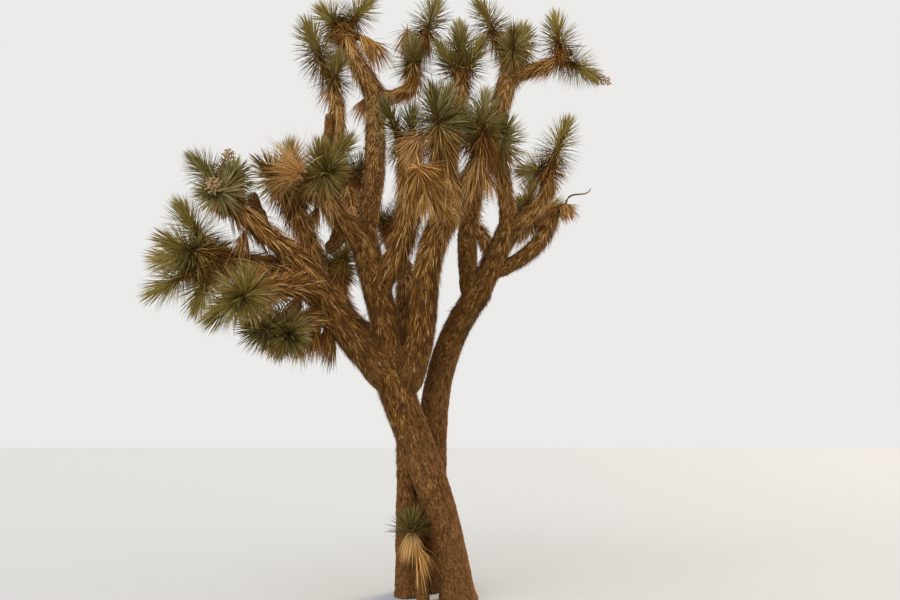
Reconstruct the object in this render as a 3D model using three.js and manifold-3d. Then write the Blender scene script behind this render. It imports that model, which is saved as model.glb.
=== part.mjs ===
// A Joshua tree: three stems and a young sprout from one root, shaggy boughs that fork, and heads of
// dagger leaves at their ends. Millimetres and degrees. +Z is up, +X runs to the right and -Y comes
// towards the viewer. The origin is the middle of the flat cut under the trunk.
import * as THREE from "three";
import { mergeVertices } from "three/addons/utils/BufferGeometryUtils.js";
import Module from "manifold-3d";

const wasm = await Module();
wasm.setup();

// Driving dimensions
const GAP = 0.3; // left between two pieces that meet
const ROOTED = 0.97; // share of a limb at which the boughs of its fork are rooted
const UNDERGROUND = 120; // how far a stem is drawn below the ground before the flat cut
const FLARE_HEIGHT = 170; // over which the root flare dies away
const FLARE_LOBES = 5;
const LUMPS = 0.05; // share by which a limb's outline swells and narrows
const RING_STEP = 330; // between the rings of a limb's mesh
const LIMB_SIDES = 8;
const STUB_SIDES = 6;
const STEM_SIDES = 14;

const STEM_RADIUS = 54; // of the short stem under each mass of leaves
const TWIG_RADIUS = 68; // of a twig at its fork
const TWIG_SIDES = 5;
const SPEAR_SHARE = 0.75; // of a leaf's length, for the spear of young leaves that ends a twig
const TWIG_LIFT = 0.1; // how much the twigs of a fan turn upward, as a share of their length
const LEAFY_FROM = 0.3; // the share of a twig where its leaves begin
const HEAD_LENGTH = 420; // and the most of a long twig that they cover
const LEAVES = 14; // tried on each head
const LEAF_TURN = 144; // between one leaf and the next, which stand in five rows
const FIRST_TURN = 18; // so that each row is on the middle of a side
const LOWEST_PITCH = 124; // between the lowest leaf and the twig
const HIGHEST_PITCH = 24;
const LEAF_WIDTH = 34;
const LEAF_THICKNESS = 12;
const LEAF_SPACE = 30; // between a leaf and its neighbours
const LEAF_ROOM = 28; // kept between a leaf and the space of the next mass
const LIMB_ROOM = 22; // kept between a leaf and a limb
const STALK_WIDTH = 18; // radius of a dry flower stalk at its foot
const STALK_TILT = 22; // between a stalk and its twig
const STALK_FOOT = 140; // of a stalk's foot, which is hidden among the leaves

const BARK = new THREE.MeshStandardMaterial({ color: 0x5a4433, roughness: 0.95, metalness: 0 });
const THATCH = new THREE.MeshStandardMaterial({ color: 0x6b4f35, roughness: 0.95, metalness: 0 });
const LEAF = new THREE.MeshStandardMaterial({ color: 0x5f6b3c, roughness: 0.6, metalness: 0 });

// A stem stands on the ground at its foot. Thick is its radius at the foot and at the tip.
const stem = (name, foot, tip, thick, shape) => ({ name, foot, tip, thick, ...shape });
// A limb leaves the one named in from, at a share of its length, and ends at tip. Out and end are
// its headings at the two ends, where they aren't the usual ones.
const limb = (name, from, at, tip, thick, shape = {}) => ({ name, from, at, tip, thick, ...shape });
// A stub is a dead end that broke off, which is one piece with the limb named in from.
const stub = (name, from, at, tip, thick, shape) => ({ name, from, at, tip, thick, broken: true, ...shape });

const LIMBS = [
  stem("trunk", [0, 0], [-700, 0, 2220], [143, 186], {
    out: [-0.12, 0, 1],
    end: [-0.33, 0, 1],
    flare: 42,
  }),
  stem("rear_stem", [-330, 460], [250, 450, 3220], [172, 138], { end: [0.62, 0, 0.78], flare: 45 }),
  stem("left_stem", [-500, 160], [-545, 50, 1700], [122, 108], { out: [-0.05, 0, 1], flare: 30 }),
  stem("sprout_stem", [-345, -120], [-465, -150, 550], [50, 44], { out: [-0.1, 0, 1], flare: 14 }),

  limb("middle_bough", "trunk", ROOTED, [-1050, 0, 3840], [170, 135], { out: [-0.05, 0.05, 1] }),
  limb("left_bough", "trunk", ROOTED, [-1520, -700, 3210], [162, 124], { out: [-0.8, -0.25, 0.75] }),
  limb("right_middle_bough", "trunk", 0.92, [-90, -320, 3930], [150, 126], {
    out: [0.75, -0.15, 1],
    end: [0.75, -0.1, 1],
  }),
  limb("back_bough", "trunk", 0.93, [-620, 950, 3450], [122, 98], { out: [0.1, 0.7, 0.8] }),

  limb("centre_bough", "middle_bough", 0.62, [-520, -300, 4420], [128, 100], {
    out: [0.9, -0.3, 0.8],
    end: [-0.05, -0.1, 1],
  }),
  limb("left_upper_bough", "left_bough", ROOTED, [-2180, -1030, 3800], [108, 74]),
  limb("left_outer_bough", "left_bough", ROOTED, [-2290, -850, 3260], [104, 74], {
    out: [-1, -0.1, 0.1],
    end: [-1, -0.15, 0.05],
  }),
  limb("left_front_bough", "left_bough", 0.86, [-1800, -1400, 2840], [96, 70], {
    out: [-0.3, -1, -0.1],
    end: [-0.15, -1, -0.2],
  }),
  limb("left_low_bough", "left_bough", 0.62, [-1640, -840, 2600], [90, 68], {
    out: [-0.6, -0.6, -0.1],
    end: [-0.6, -0.8, -0.5],
  }),
  limb("left_inner_bough", "left_bough", ROOTED, [-1720, -500, 3980], [100, 80], {
    out: [0.25, 0.4, 1],
    end: [-0.3, 0, 1],
  }),

  limb("tall_left_bough", "middle_bough", ROOTED, [-970, 300, 5620], [112, 92], {
    out: [0.25, 0.1, 1],
  }),
  limb("inner_left_bough", "middle_bough", 0.9, [-1430, -600, 4070], [115, 84], {
    out: [-0.7, -0.5, 0.6],
  }),
  limb("upper_left_bough", "inner_left_bough", 0.7, [-1370, -260, 5300], [84, 64], {
    out: [-0.2, 0.4, 1],
    end: [-0.25, 0, 1],
  }),
  limb("inner_back_bough", "middle_bough", 0.82, [-1350, 850, 4650], [92, 66], {
    out: [-0.3, 0.8, 0.6],
  }),
  limb("top_left_bough", "tall_left_bough", ROOTED, [-1370, 300, 6380], [104, 80], {
    out: [-0.5, 0, 1],
  }),
  limb("top_middle_bough", "tall_left_bough", 0.955, [-560, 300, 5760], [80, 68], {
    out: [1, 0, 0.05],
    end: [0.3, 0, 1],
  }),

  limb("front_bough", "right_middle_bough", ROOTED, [-350, -960, 4060], [104, 74], {
    out: [-0.1, -1, 0.3],
  }),
  limb("front_upper_bough", "right_middle_bough", ROOTED, [-170, -800, 4370], [106, 74], {
    end: [0, -0.25, 1],
  }),
  limb("right_front_bough", "right_middle_bough", ROOTED, [220, -600, 4450], [104, 72], {
    out: [0.5, -0.4, 1],
    end: [0.25, -0.4, 1],
  }),
  limb("slender_bough", "right_middle_bough", 0.92, [40, 0, 5540], [76, 60], { out: [0, 0.6, 1] }),

  limb("back_left_bough", "back_bough", 0.4, [-1500, 1200, 3550], [100, 66], {
    out: [-1, 0.3, 0.4],
    end: [-0.1, 0.1, 1],
  }),
  limb("back_upper_bough", "back_bough", ROOTED, [-850, 1700, 4300], [86, 66]),

  limb("tall_right_bough", "rear_stem", ROOTED, [660, 600, 6080], [116, 92], {
    out: [-0.25, 0, 1],
    end: [0.25, 0, 1],
  }),
  limb("right_bough", "rear_stem", ROOTED, [580, 350, 3980], [124, 108], { out: [0.6, -0.05, 1] }),
  limb("right_low_bough", "right_bough", 0.38, [1130, 560, 4170], [88, 70], {
    out: [1, 0.1, 0.25],
    end: [0.35, 0, 1],
  }),
  limb("right_back_bough", "rear_stem", 0.88, [450, 1350, 3900], [104, 86], { out: [0.1, 0.9, 0.5] }),
  limb("right_inner_bough", "right_bough", ROOTED, [500, 250, 4700], [90, 70]),
  limb("right_outer_bough", "right_bough", ROOTED, [1040, 200, 4500], [90, 68], {
    out: [0.9, -0.1, 0.3],
    end: [-0.05, 0, 1],
  }),
  limb("top_right_bough", "tall_right_bough", ROOTED, [1230, 500, 6170], [84, 62], {
    out: [0.9, -0.1, 0.3],
    end: [1, -0.1, 0.6],
  }),
  limb("back_right_bough", "right_back_bough", ROOTED, [950, 1720, 4480], [80, 64]),
  limb("back_middle_bough", "right_back_bough", ROOTED, [150, 1850, 4700], [80, 64]),

  stub("inner_left_stub", "inner_left_bough", 0.3, [-1390, -250, 3530], [95, 62], {
    out: [-0.9, -0.2, -0.2],
  }),
  stub("upper_left_stub", "upper_left_bough", 0.12, [-1400, -350, 5000], [58, 50], {
    out: [-0.5, -0.2, 1],
  }),
  stub("left_upper_stub", "left_upper_bough", 0.6, [-2040, -850, 3920], [62, 52], { out: [0, 0, 1] }),
  stub("top_right_stub", "top_right_bough", 0.9, [1420, 460, 6270], [36, 26], { out: [1, 0, 0.4] }),
];

// Twigs set evenly round a bough's heading: how many, the angle of the first, their spread, their reach
const fan = (heads, turn, spread, reach) => ({ heads, turn, spread, reach });
// A mass of leaves on a bough's tip. Twigs is a fan, or says how far each bud is from the fork where
// the mass's short stem ends. Each bud ends a head of leaves, and stalks are the heads that carry a
// dry flower stalk, whose length is stalk.
const mass = (name, on, twigs, leaf, more = {}) => ({ name, on, twigs, leaf, stem: 80, stalks: [], ...more });

const MASSES = [
  mass("sprout_leaves", "sprout_stem", [[0, -10, 150]], 240, { stem: 60 }),
  mass("left_upper_leaves", "left_upper_bough", [
    [0, -350, -150],
    [-250, -100, 250],
    [-50, 300, 350],
  ], 250, { stalks: [0, 2], stalk: 170 }),
  mass("left_outer_leaves", "left_outer_bough", [
    [-300, -100, 450],
    [-280, -280, 60],
    [-600, 250, 50],
    [-400, -150, -350],
    [-150, 100, -400],
  ], 300),
  mass("left_front_leaves", "left_front_bough", [[0, -300, -150], [-250, 0, -200]], 290),
  mass("left_low_leaves", "left_low_bough", [[-150, -300, -50], [150, -200, -100]], 270),
  mass("left_inner_leaves", "left_inner_bough", [[-150, -450, 100], [-50, 50, 500]], 290),
  mass("inner_left_leaves", "inner_left_bough", [
    [-50, -400, -50],
    [50, -100, 300],
    [300, -100, 350],
    [220, -300, 50],
  ], 280),
  mass("upper_left_leaves", "upper_left_bough", [[-330, 50, 750], [50, -100, 250]], 290),
  mass("inner_back_leaves", "inner_back_bough", fan(3, 30, 45, 430), 290, { stalks: [1], stalk: 300 }),
  mass("top_left_leaves", "top_left_bough", [[400, -100, -250], [300, 0, 400], [-200, -50, 200]], 290),
  mass("top_middle_leaves", "top_middle_bough", [
    [-100, 250, 750],
    [0, -100, 350],
    [300, 100, 950],
  ], 290),
  mass("centre_leaves", "centre_bough", [[150, -550, 50], [-220, -350, 430], [0, -50, 500]], 300),
  mass("front_leaves", "front_bough", [[0, -150, -50]], 300),
  mass("front_upper_leaves", "front_upper_bough", [[-100, -350, 360], [50, 200, 650]], 320),
  mass("right_front_leaves", "right_front_bough", [[50, 100, 580], [-150, 400, 500]], 300),
  mass("slender_leaves", "slender_bough", [[-270, 0, 420], [-20, 150, 780], [200, -50, 420]], 240),
  mass("back_left_leaves", "back_left_bough", fan(3, 50, 45, 430), 290),
  mass("back_upper_leaves", "back_upper_bough", fan(3, 0, 45, 440), 290),
  mass("tall_right_leaves", "tall_right_bough", [
    [-420, 50, 850],
    [0, -350, 170],
    [200, 350, 700],
  ], 290),
  mass("top_right_leaves", "top_right_bough", [
    [-60, 0, 480],
    [310, 0, -220],
  ], 280, { stalks: [1], stalk: 200 }),
  mass("right_inner_leaves", "right_inner_bough", [[50, -600, 100]], 290),
  mass("right_outer_leaves", "right_outer_bough", [[200, -50, 530], [-200, 100, 50]], 290),
  mass("right_low_leaves", "right_low_bough", [[140, -30, 60]], 200, { stalks: [0], stalk: 240 }),
  mass("back_right_leaves", "back_right_bough", fan(3, 0, 42, 430), 290),
  mass("back_middle_leaves", "back_middle_bough", fan(3, 40, 42, 430), 290),
];

// A fixed run of numbers from 0 to 1 for each seed
function random(seed) {
  let state = seed * 7919 + 17;
  return () => {
    state = (state * 16807) % 2147483647;
    return state / 2147483647;
  };
}

const radians = THREE.MathUtils.degToRad;
const vector = (numbers) => new THREE.Vector3(...numbers);
const UP = vector([0, 0, 1]);

// A closed mesh as a manifold-3d solid
function solid(geometry) {
  const bare = geometry.clone().deleteAttribute("normal").deleteAttribute("uv");
  const merged = mergeVertices(bare, 1e-3);
  return new wasm.Manifold(
    new wasm.Mesh({
      numProp: 3,
      vertProperties: merged.attributes.position.array,
      triVerts: new Uint32Array(merged.index.array),
    }),
  );
}

// The largest piece of a solid, without its loose scraps
function largest(whole) {
  return whole.decompose().reduce((best, piece) => (piece.volume() > best.volume() ? piece : best));
}

function geometryOf(made) {
  const mesh = made.getMesh();
  const geometry = new THREE.BufferGeometry();
  geometry.setAttribute("position", new THREE.BufferAttribute(mesh.vertProperties, 3));
  geometry.setIndex(new THREE.BufferAttribute(mesh.triVerts, 1));
  geometry.computeVertexNormals();
  return geometry;
}

// A closed cylinder bent along a curve. Shares gives the places of its rings, radiusAt their
// radius at a share of the length and an angle, and grow what is added all round.
function bentCylinder(curve, shares, sides, radiusAt, grow) {
  const steps = shares.length - 1;
  const fine = 60;
  const frames = curve.computeFrenetFrames(fine, false);
  const geometry = new THREE.CylinderGeometry(1, 1, 1, sides, steps);
  const position = geometry.attributes.position;
  const place = new THREE.Vector3();
  for (let i = 0; i < position.count; i++) {
    const share = shares[Math.round((position.getY(i) + 0.5) * steps)];
    const side = vector([position.getX(i), position.getZ(i), 0]);
    const angle = Math.atan2(side.y, side.x);
    const reach = side.length() < 0.5 ? 0 : radiusAt(share, angle) + grow;
    const frame = Math.round(share * fine);
    curve.getPointAt(share, place);
    if (share === 0) place.addScaledVector(frames.tangents[0], -grow);
    if (share === 1) place.addScaledVector(frames.tangents[fine], grow);
    place.addScaledVector(frames.binormals[frame], reach * Math.cos(angle));
    place.addScaledVector(frames.normals[frame], reach * Math.sin(angle));
    position.setXYZ(i, place.x, place.y, place.z);
  }
  return geometry;
}

// The centre line of a stem or a limb, which leaves its parent's heading and bends to its tip
const curves = {};
function centreLine(one) {
  const tip = vector(one.tip);
  const start = one.foot ? vector([...one.foot, 0]) : curves[one.from].getPointAt(one.at);
  const chord = tip.clone().sub(start);
  const straight = chord.clone().normalize();
  const parent = one.foot ? UP.clone() : curves[one.from].getTangentAt(one.at);
  const out = one.out ? vector(one.out).normalize() : parent.add(straight).normalize();
  const end = one.end ? vector(one.end).normalize() : straight.addScaledVector(UP, 0.35).normalize();
  const pull = chord.length() * 0.36;
  const first = start.clone().addScaledVector(out, pull);
  const second = tip.clone().addScaledVector(end, -pull);
  if (one.foot) start.addScaledVector(out, -UNDERGROUND);
  return new THREE.CubicBezierCurve3(start, first, second, tip);
}

const forks = new Set(LIMBS.filter((one) => !one.broken).map((one) => one.from));
LIMBS.forEach((one) => {
  curves[one.name] = centreLine(one);
});

// The radius of a limb at a share of its length: a taper with a few lumps, and the root flare
function limbRadius(one, seed) {
  const draw = random(seed);
  const [first, second, third] = [draw() * 6.28, draw() * 6.28, draw() * 6.28];
  const curve = curves[one.name];
  return (share, angle) => {
    const taper = THREE.MathUtils.lerp(one.thick[0], one.thick[1], share);
    const lumps = Math.sin(2 * angle + first + 4 * share) + Math.sin(3 * angle + second - 7 * share);
    const height = curve.getPointAt(share).z;
    const lobes = 1 + 0.3 * Math.sin(FLARE_LOBES * angle + third);
    const flare = one.flare ? one.flare * lobes * Math.exp(-Math.max(height, 0) / FLARE_HEIGHT) : 0;
    const round = forks.has(one.name) ? domed(share) : 1;
    return (taper * (1 + LUMPS * lumps) + flare) * round;
  };
}

// A limb that forks ends in a low dome under its boughs
const DOME = [[0.975, 0.86], [1, 0.45]];
function domed(share) {
  const ring = DOME.find(([at]) => Math.abs(share - at) < 1e-6);
  return ring ? ring[1] : 1;
}

function ringShares(one) {
  const length = curves[one.name].getLength();
  const last = forks.has(one.name) ? 0.93 : 1;
  const count = Math.max(one.broken ? 2 : 3, Math.round(length / RING_STEP));
  const shares = Array.from({ length: count + 1 }, (_, i) => (last * i) / count);
  if (one.flare) shares.splice(1, 0, UNDERGROUND / length, (UNDERGROUND + FLARE_HEIGHT) / length);
  if (forks.has(one.name)) shares.push(...DOME.map(([at]) => at));
  return shares.sort((a, b) => a - b);
}

function limbSolid(one, index, grow) {
  const sides = one.foot ? STEM_SIDES : one.broken ? STUB_SIDES : LIMB_SIDES;
  return solid(bentCylinder(curves[one.name], ringShares(one), sides, limbRadius(one, index + 1), grow));
}

// The ground under the stems, which gives each its flat cut
function ground() {
  const box = new THREE.BoxGeometry(4000, 4000, 1000);
  return solid(box.translate(0, 0, -500));
}

// A solid less the limbs that it meets, each grown by the gap
function cutClear(whole, limbs) {
  return limbs
    .filter(({ grown }) => !whole.intersect(grown).isEmpty())
    .reduce((rest, { grown }) => rest.subtract(grown), whole);
}

// The limbs in their order, each cut back clear of those before it, and the stubs fused to theirs
function makeLimbs() {
  const earth = ground();
  const made = [];
  LIMBS.forEach((one, index) => {
    const whole = one.foot ? limbSolid(one, index, 0).subtract(earth) : limbSolid(one, index, 0);
    const grown = limbSolid(one, index, GAP);
    if (one.broken) {
      const parent = made.find(({ name }) => name === one.from);
      const others = made.filter(({ name }) => name !== one.from);
      parent.shape = largest(parent.shape.add(cutClear(whole, others)));
      parent.grown = parent.grown.add(grown);
    } else {
      made.push({ ...one, shape: largest(cutClear(whole, made)), grown });
    }
  });
  return made;
}

// Two directions square to a heading
function across(heading) {
  const side = (Math.abs(heading.z) < 0.9 ? UP : vector([1, 0, 0])).clone().cross(heading).normalize();
  return [side, heading.clone().cross(side)];
}

function turned(heading, tilt, angle) {
  const [side, front] = across(heading);
  return heading
    .clone()
    .multiplyScalar(Math.cos(tilt))
    .addScaledVector(side, Math.sin(tilt) * Math.cos(angle))
    .addScaledVector(front, Math.sin(tilt) * Math.sin(angle));
}

// How far the bud of each twig is from the fork, before the rule's own changes
function twigWays({ twigs }, heading, draw) {
  if (Array.isArray(twigs)) return twigs.map(vector);
  return Array.from({ length: twigs.heads }, (_, k) => {
    const angle = radians(twigs.turn + (360 * k) / twigs.heads + (draw() - 0.5) * 20);
    const tilt = radians(twigs.spread * (0.9 + 0.2 * draw()));
    const way = turned(heading, tilt, angle).addScaledVector(UP, TWIG_LIFT).normalize();
    return way.multiplyScalar(twigs.reach);
  });
}

// The stem and the twigs of a mass, by its seeded rule
function growTwigs(one, seed) {
  const draw = random(seed);
  const curve = curves[one.on];
  const heading = curve.getTangentAt(1);
  const root = curve.getPointAt(1).addScaledVector(heading, GAP);
  const fork = root.clone().addScaledVector(heading, one.stem);
  const twigs = twigWays(one, heading, draw).map((planned) => {
    const length = planned.length() * (0.94 + 0.12 * draw());
    const way = turned(planned.normalize(), radians(4 * draw()), 6.28 * draw());
    return { fork, way, length, leafy: Math.max(LEAFY_FROM, 1 - HEAD_LENGTH / length) };
  });
  return { heading, root, fork, twigs };
}

const growths = MASSES.map((one, index) => growTwigs(one, 100 + index));

// Points along the twigs of a mass, and along the limbs with their radius
const twigMarks = ({ fork, way, length }) =>
  [0, 0.2, 0.4, 0.6, 0.8, 1, 1.2].map((share) => fork.clone().addScaledVector(way, share * length));
const marks = growths.map(({ root, twigs }) => [root, ...twigs.flatMap(twigMarks)]);
const limbMarks = LIMBS.flatMap((one) => {
  const count = Math.ceil(curves[one.name].getLength() / 60);
  return curves[one.name].getSpacedPoints(count).map((point, i) => ({
    point,
    radius: THREE.MathUtils.lerp(one.thick[0], one.thick[1], i / count) * (1 + 2 * LUMPS),
  }));
});

const nearest = (place, points) => Math.min(...points.map((point) => point.distanceTo(place)));

// Whether a straight leaf keeps to the space of its own mass and clear of the limbs
function hasRoom(owner, root, tip) {
  return [0.4, 0.6, 0.8, 1].every((share) => {
    const place = root.clone().lerp(tip, share);
    const own = nearest(place, marks[owner]) + LEAF_ROOM;
    const free = marks.every((points, i) => i === owner || nearest(place, points) > own);
    const above = place.z > LEAF_ROOM;
    return free && above && limbMarks.every((m) => m.point.distanceTo(place) > m.radius + LIMB_ROOM);
  });
}

// Whether a leaf crosses none of those grown before it
const SPREAD_SHARES = [0.2, 0.4, 0.6, 0.8, 1];
function isFree(root, tip, others) {
  const own = SPREAD_SHARES.map((share) => root.clone().lerp(tip, share));
  return others.every((points) => points.every((point) => nearest(point, own) > LEAF_SPACE));
}

// A dagger leaf: a flat cone of three sides with its keel away from the twig's tip
function leafSolid(root, way, heading, length) {
  const side = way.clone().cross(heading).normalize();
  const turn = new THREE.Matrix4().makeBasis(side, way, side.clone().cross(way)).setPosition(root);
  const shape = new THREE.ConeGeometry(1 / Math.sqrt(3), 1, 3).translate(0, 0.5, 0);
  return solid(shape.applyMatrix4(turn.scale(new THREE.Vector3(LEAF_WIDTH, length, LEAF_THICKNESS))));
}

// A cone that stands at root and points along heading
function cone(root, heading, radius, length, sides) {
  const [side] = across(heading);
  const turn = new THREE.Matrix4().makeBasis(side, heading, side.clone().cross(heading));
  const shape = new THREE.ConeGeometry(radius, length, sides).translate(0, length / 2, 0);
  return solid(shape.applyMatrix4(turn.setPosition(root)));
}

// A twig that narrows to the spear of young leaves at its end
function twigSolid({ fork, way, length }, leaf) {
  return cone(fork, way, TWIG_RADIUS, length + leaf * SPEAR_SHARE, TWIG_SIDES);
}

// The leaves of one head, in a spiral from its foot to its bud
function headLeaves(owner, one, twig, draw, grown) {
  const leaves = [];
  for (let i = 0; i < LEAVES; i++) {
    const rank = (i + 0.5) / LEAVES;
    const along = twig.length * THREE.MathUtils.lerp(twig.leafy, 0.94, rank);
    const pitch = radians(THREE.MathUtils.lerp(LOWEST_PITCH, HIGHEST_PITCH, rank) + (draw() - 0.5) * 12);
    const angle = radians(FIRST_TURN + i * LEAF_TURN + (draw() - 0.5) * 10);
    const way = turned(twig.way, pitch, angle);
    const length = one.leaf * (0.88 + 0.2 * draw());
    const root = twig.fork.clone().addScaledVector(twig.way, along).addScaledVector(way, 4);
    const tip = root.clone().addScaledVector(way, length);
    if (isFree(root, tip, grown) && hasRoom(owner, root, tip)) {
      grown.push(SPREAD_SHARES.map((at) => root.clone().lerp(tip, at)));
      leaves.push(leafSolid(root, way, twig.way, length));
    }
  }
  return leaves;
}

// A dry flower stalk that stands out of a head's bud
function stalkSolid({ fork, way, length }, stalk) {
  const root = fork.clone().addScaledVector(way, length * 0.9);
  return cone(root, turned(way, radians(STALK_TILT), 1), STALK_WIDTH, stalk + STALK_FOOT, 4);
}

function massSolid(one, owner, limbs) {
  const draw = random(500 + owner);
  const { root, fork, heading, twigs } = growths[owner];
  const past = fork.clone().addScaledVector(heading, 15);
  const foot = new THREE.LineCurve3(root, past);
  const foothold = bentCylinder(foot, [0, 1], TWIG_SIDES + 1, (share) => STEM_RADIUS - 6 * share, 0);
  let whole = solid(foothold);
  const grown = [];
  twigs.forEach((twig) => {
    whole = whole.add(twigSolid(twig, one.leaf));
    headLeaves(owner, one, twig, draw, grown).forEach((leaf) => {
      whole = whole.add(leaf);
    });
  });
  one.stalks.forEach((head) => {
    whole = whole.add(stalkSolid(twigs[head], one.stalk));
  });
  return largest(cutClear(whole, limbs));
}

function named(name, made, material) {
  const mesh = new THREE.Mesh(geometryOf(made), material);
  mesh.name = name;
  return mesh;
}

const tree = new THREE.Group();
tree.name = "joshua_tree";
const limbs = makeLimbs();
limbs.forEach((one) => tree.add(named(one.name, one.shape, one.foot ? BARK : THATCH)));
MASSES.forEach((one, owner) => tree.add(named(one.name, massSolid(one, owner, limbs), LEAF)));

export default tree;
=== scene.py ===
"""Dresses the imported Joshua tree: bark with its relief, shaggy limbs, heads of dagger leaves, dry stalks."""
import math

import bpy
import numpy as np
from bpy.props import FloatProperty, FloatVectorProperty, IntProperty, PointerProperty
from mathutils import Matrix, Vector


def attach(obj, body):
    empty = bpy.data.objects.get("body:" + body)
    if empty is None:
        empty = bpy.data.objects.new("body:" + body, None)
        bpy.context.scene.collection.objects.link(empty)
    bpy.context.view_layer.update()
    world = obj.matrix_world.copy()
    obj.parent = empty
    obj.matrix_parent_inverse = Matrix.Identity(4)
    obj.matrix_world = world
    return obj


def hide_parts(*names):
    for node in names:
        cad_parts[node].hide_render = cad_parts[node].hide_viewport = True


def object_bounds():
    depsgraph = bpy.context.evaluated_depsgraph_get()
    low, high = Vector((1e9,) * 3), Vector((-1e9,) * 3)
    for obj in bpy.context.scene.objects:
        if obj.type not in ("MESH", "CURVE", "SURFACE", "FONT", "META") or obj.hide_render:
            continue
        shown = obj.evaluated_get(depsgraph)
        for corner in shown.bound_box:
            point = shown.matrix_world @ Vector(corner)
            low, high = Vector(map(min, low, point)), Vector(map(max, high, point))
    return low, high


bl_info = {
    "name": "Joshua tree",
    "version": (1, 0, 0),
    "blender": (4, 5, 0),
    "location": "3D View > Sidebar > Joshua tree",
    "description": "Grows a Joshua tree over its packed frame",
    "category": "Add Mesh",
}

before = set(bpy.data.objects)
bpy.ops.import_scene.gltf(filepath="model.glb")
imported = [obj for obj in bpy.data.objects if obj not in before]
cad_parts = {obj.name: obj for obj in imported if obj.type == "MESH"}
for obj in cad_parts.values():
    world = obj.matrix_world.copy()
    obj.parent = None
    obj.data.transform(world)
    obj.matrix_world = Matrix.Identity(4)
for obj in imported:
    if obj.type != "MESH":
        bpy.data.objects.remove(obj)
CAD_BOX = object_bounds()

# Lengths are in metres, radii too

CIRCLE = 2 * math.pi
TURN = 6.28  # a full turn, as the source's rules round it
UP = np.array([0.0, 0.0, 1.0])
ROOTED = 0.97  # share of a limb at which the boughs of its fork are rooted
PULL = 0.36  # how far a limb's bends reach, as a share of the way to its tip
TIP_RISE = 0.35  # how much a limb's tip turns upward
UNDERGROUND = 0.12
FLARE_HEIGHT, FLARE_LOBES = 0.17, 5
LUMPS = 0.05
COLLAR, COLLAR_LENGTH = 0.16, 0.13  # how much wider a bough is where it leaves its fork, and how far
GAP = 0.0003
TWIG_LIFT = 0.1  # how much the twigs of a fan turn upward, as a share of their length
LEAFY_FROM = 0.3  # the share of a twig where its leaves begin
HEAD_LENGTH = 0.42  # and the most of a long twig that they cover
PAINTED_LIGHT_FROM, PAINTED_LIGHT_OVER = 3.0, 1.4  # the height from which the bark and the dead leaves are painted lighter, as painted light, and over which
PAST_BOX = 0.07  # how far a leaf may reach past the solids
LOWEST = np.append(np.array(CAD_BOX[0])[:2] - PAST_BOX, 0.004)  # no leaf touches the ground
HIGHEST = np.array(CAD_BOX[1]) + PAST_BOX


def stem(name, foot, tip, thick, shag, flare, out=None, end=None):
    """A stem on the ground. Thick is its radius at both ends, shag the length of its dead leaves there,
    flare how much wider it is at the ground."""
    return dict(name=name, foot=foot, tip=tip, thick=thick, shag=shag, flare=flare, out=out, end=end)


def limb(name, start, at, tip, thick, shag, out=None, end=None, **shape):
    """A limb that leaves the one named in start at a share of its length, and ends at tip. Out is its
    heading where it leaves, end that at its tip."""
    return dict(name=name, start=start, at=at, tip=tip, thick=thick, shag=shag, out=out, end=end, **shape)


def stub(name, start, at, tip, thick, out):
    """A dead end that broke off, which is one piece with the limb named in start."""
    return limb(name, start, at, tip, thick, (0.03, 0.03), out, broken=True)


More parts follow.
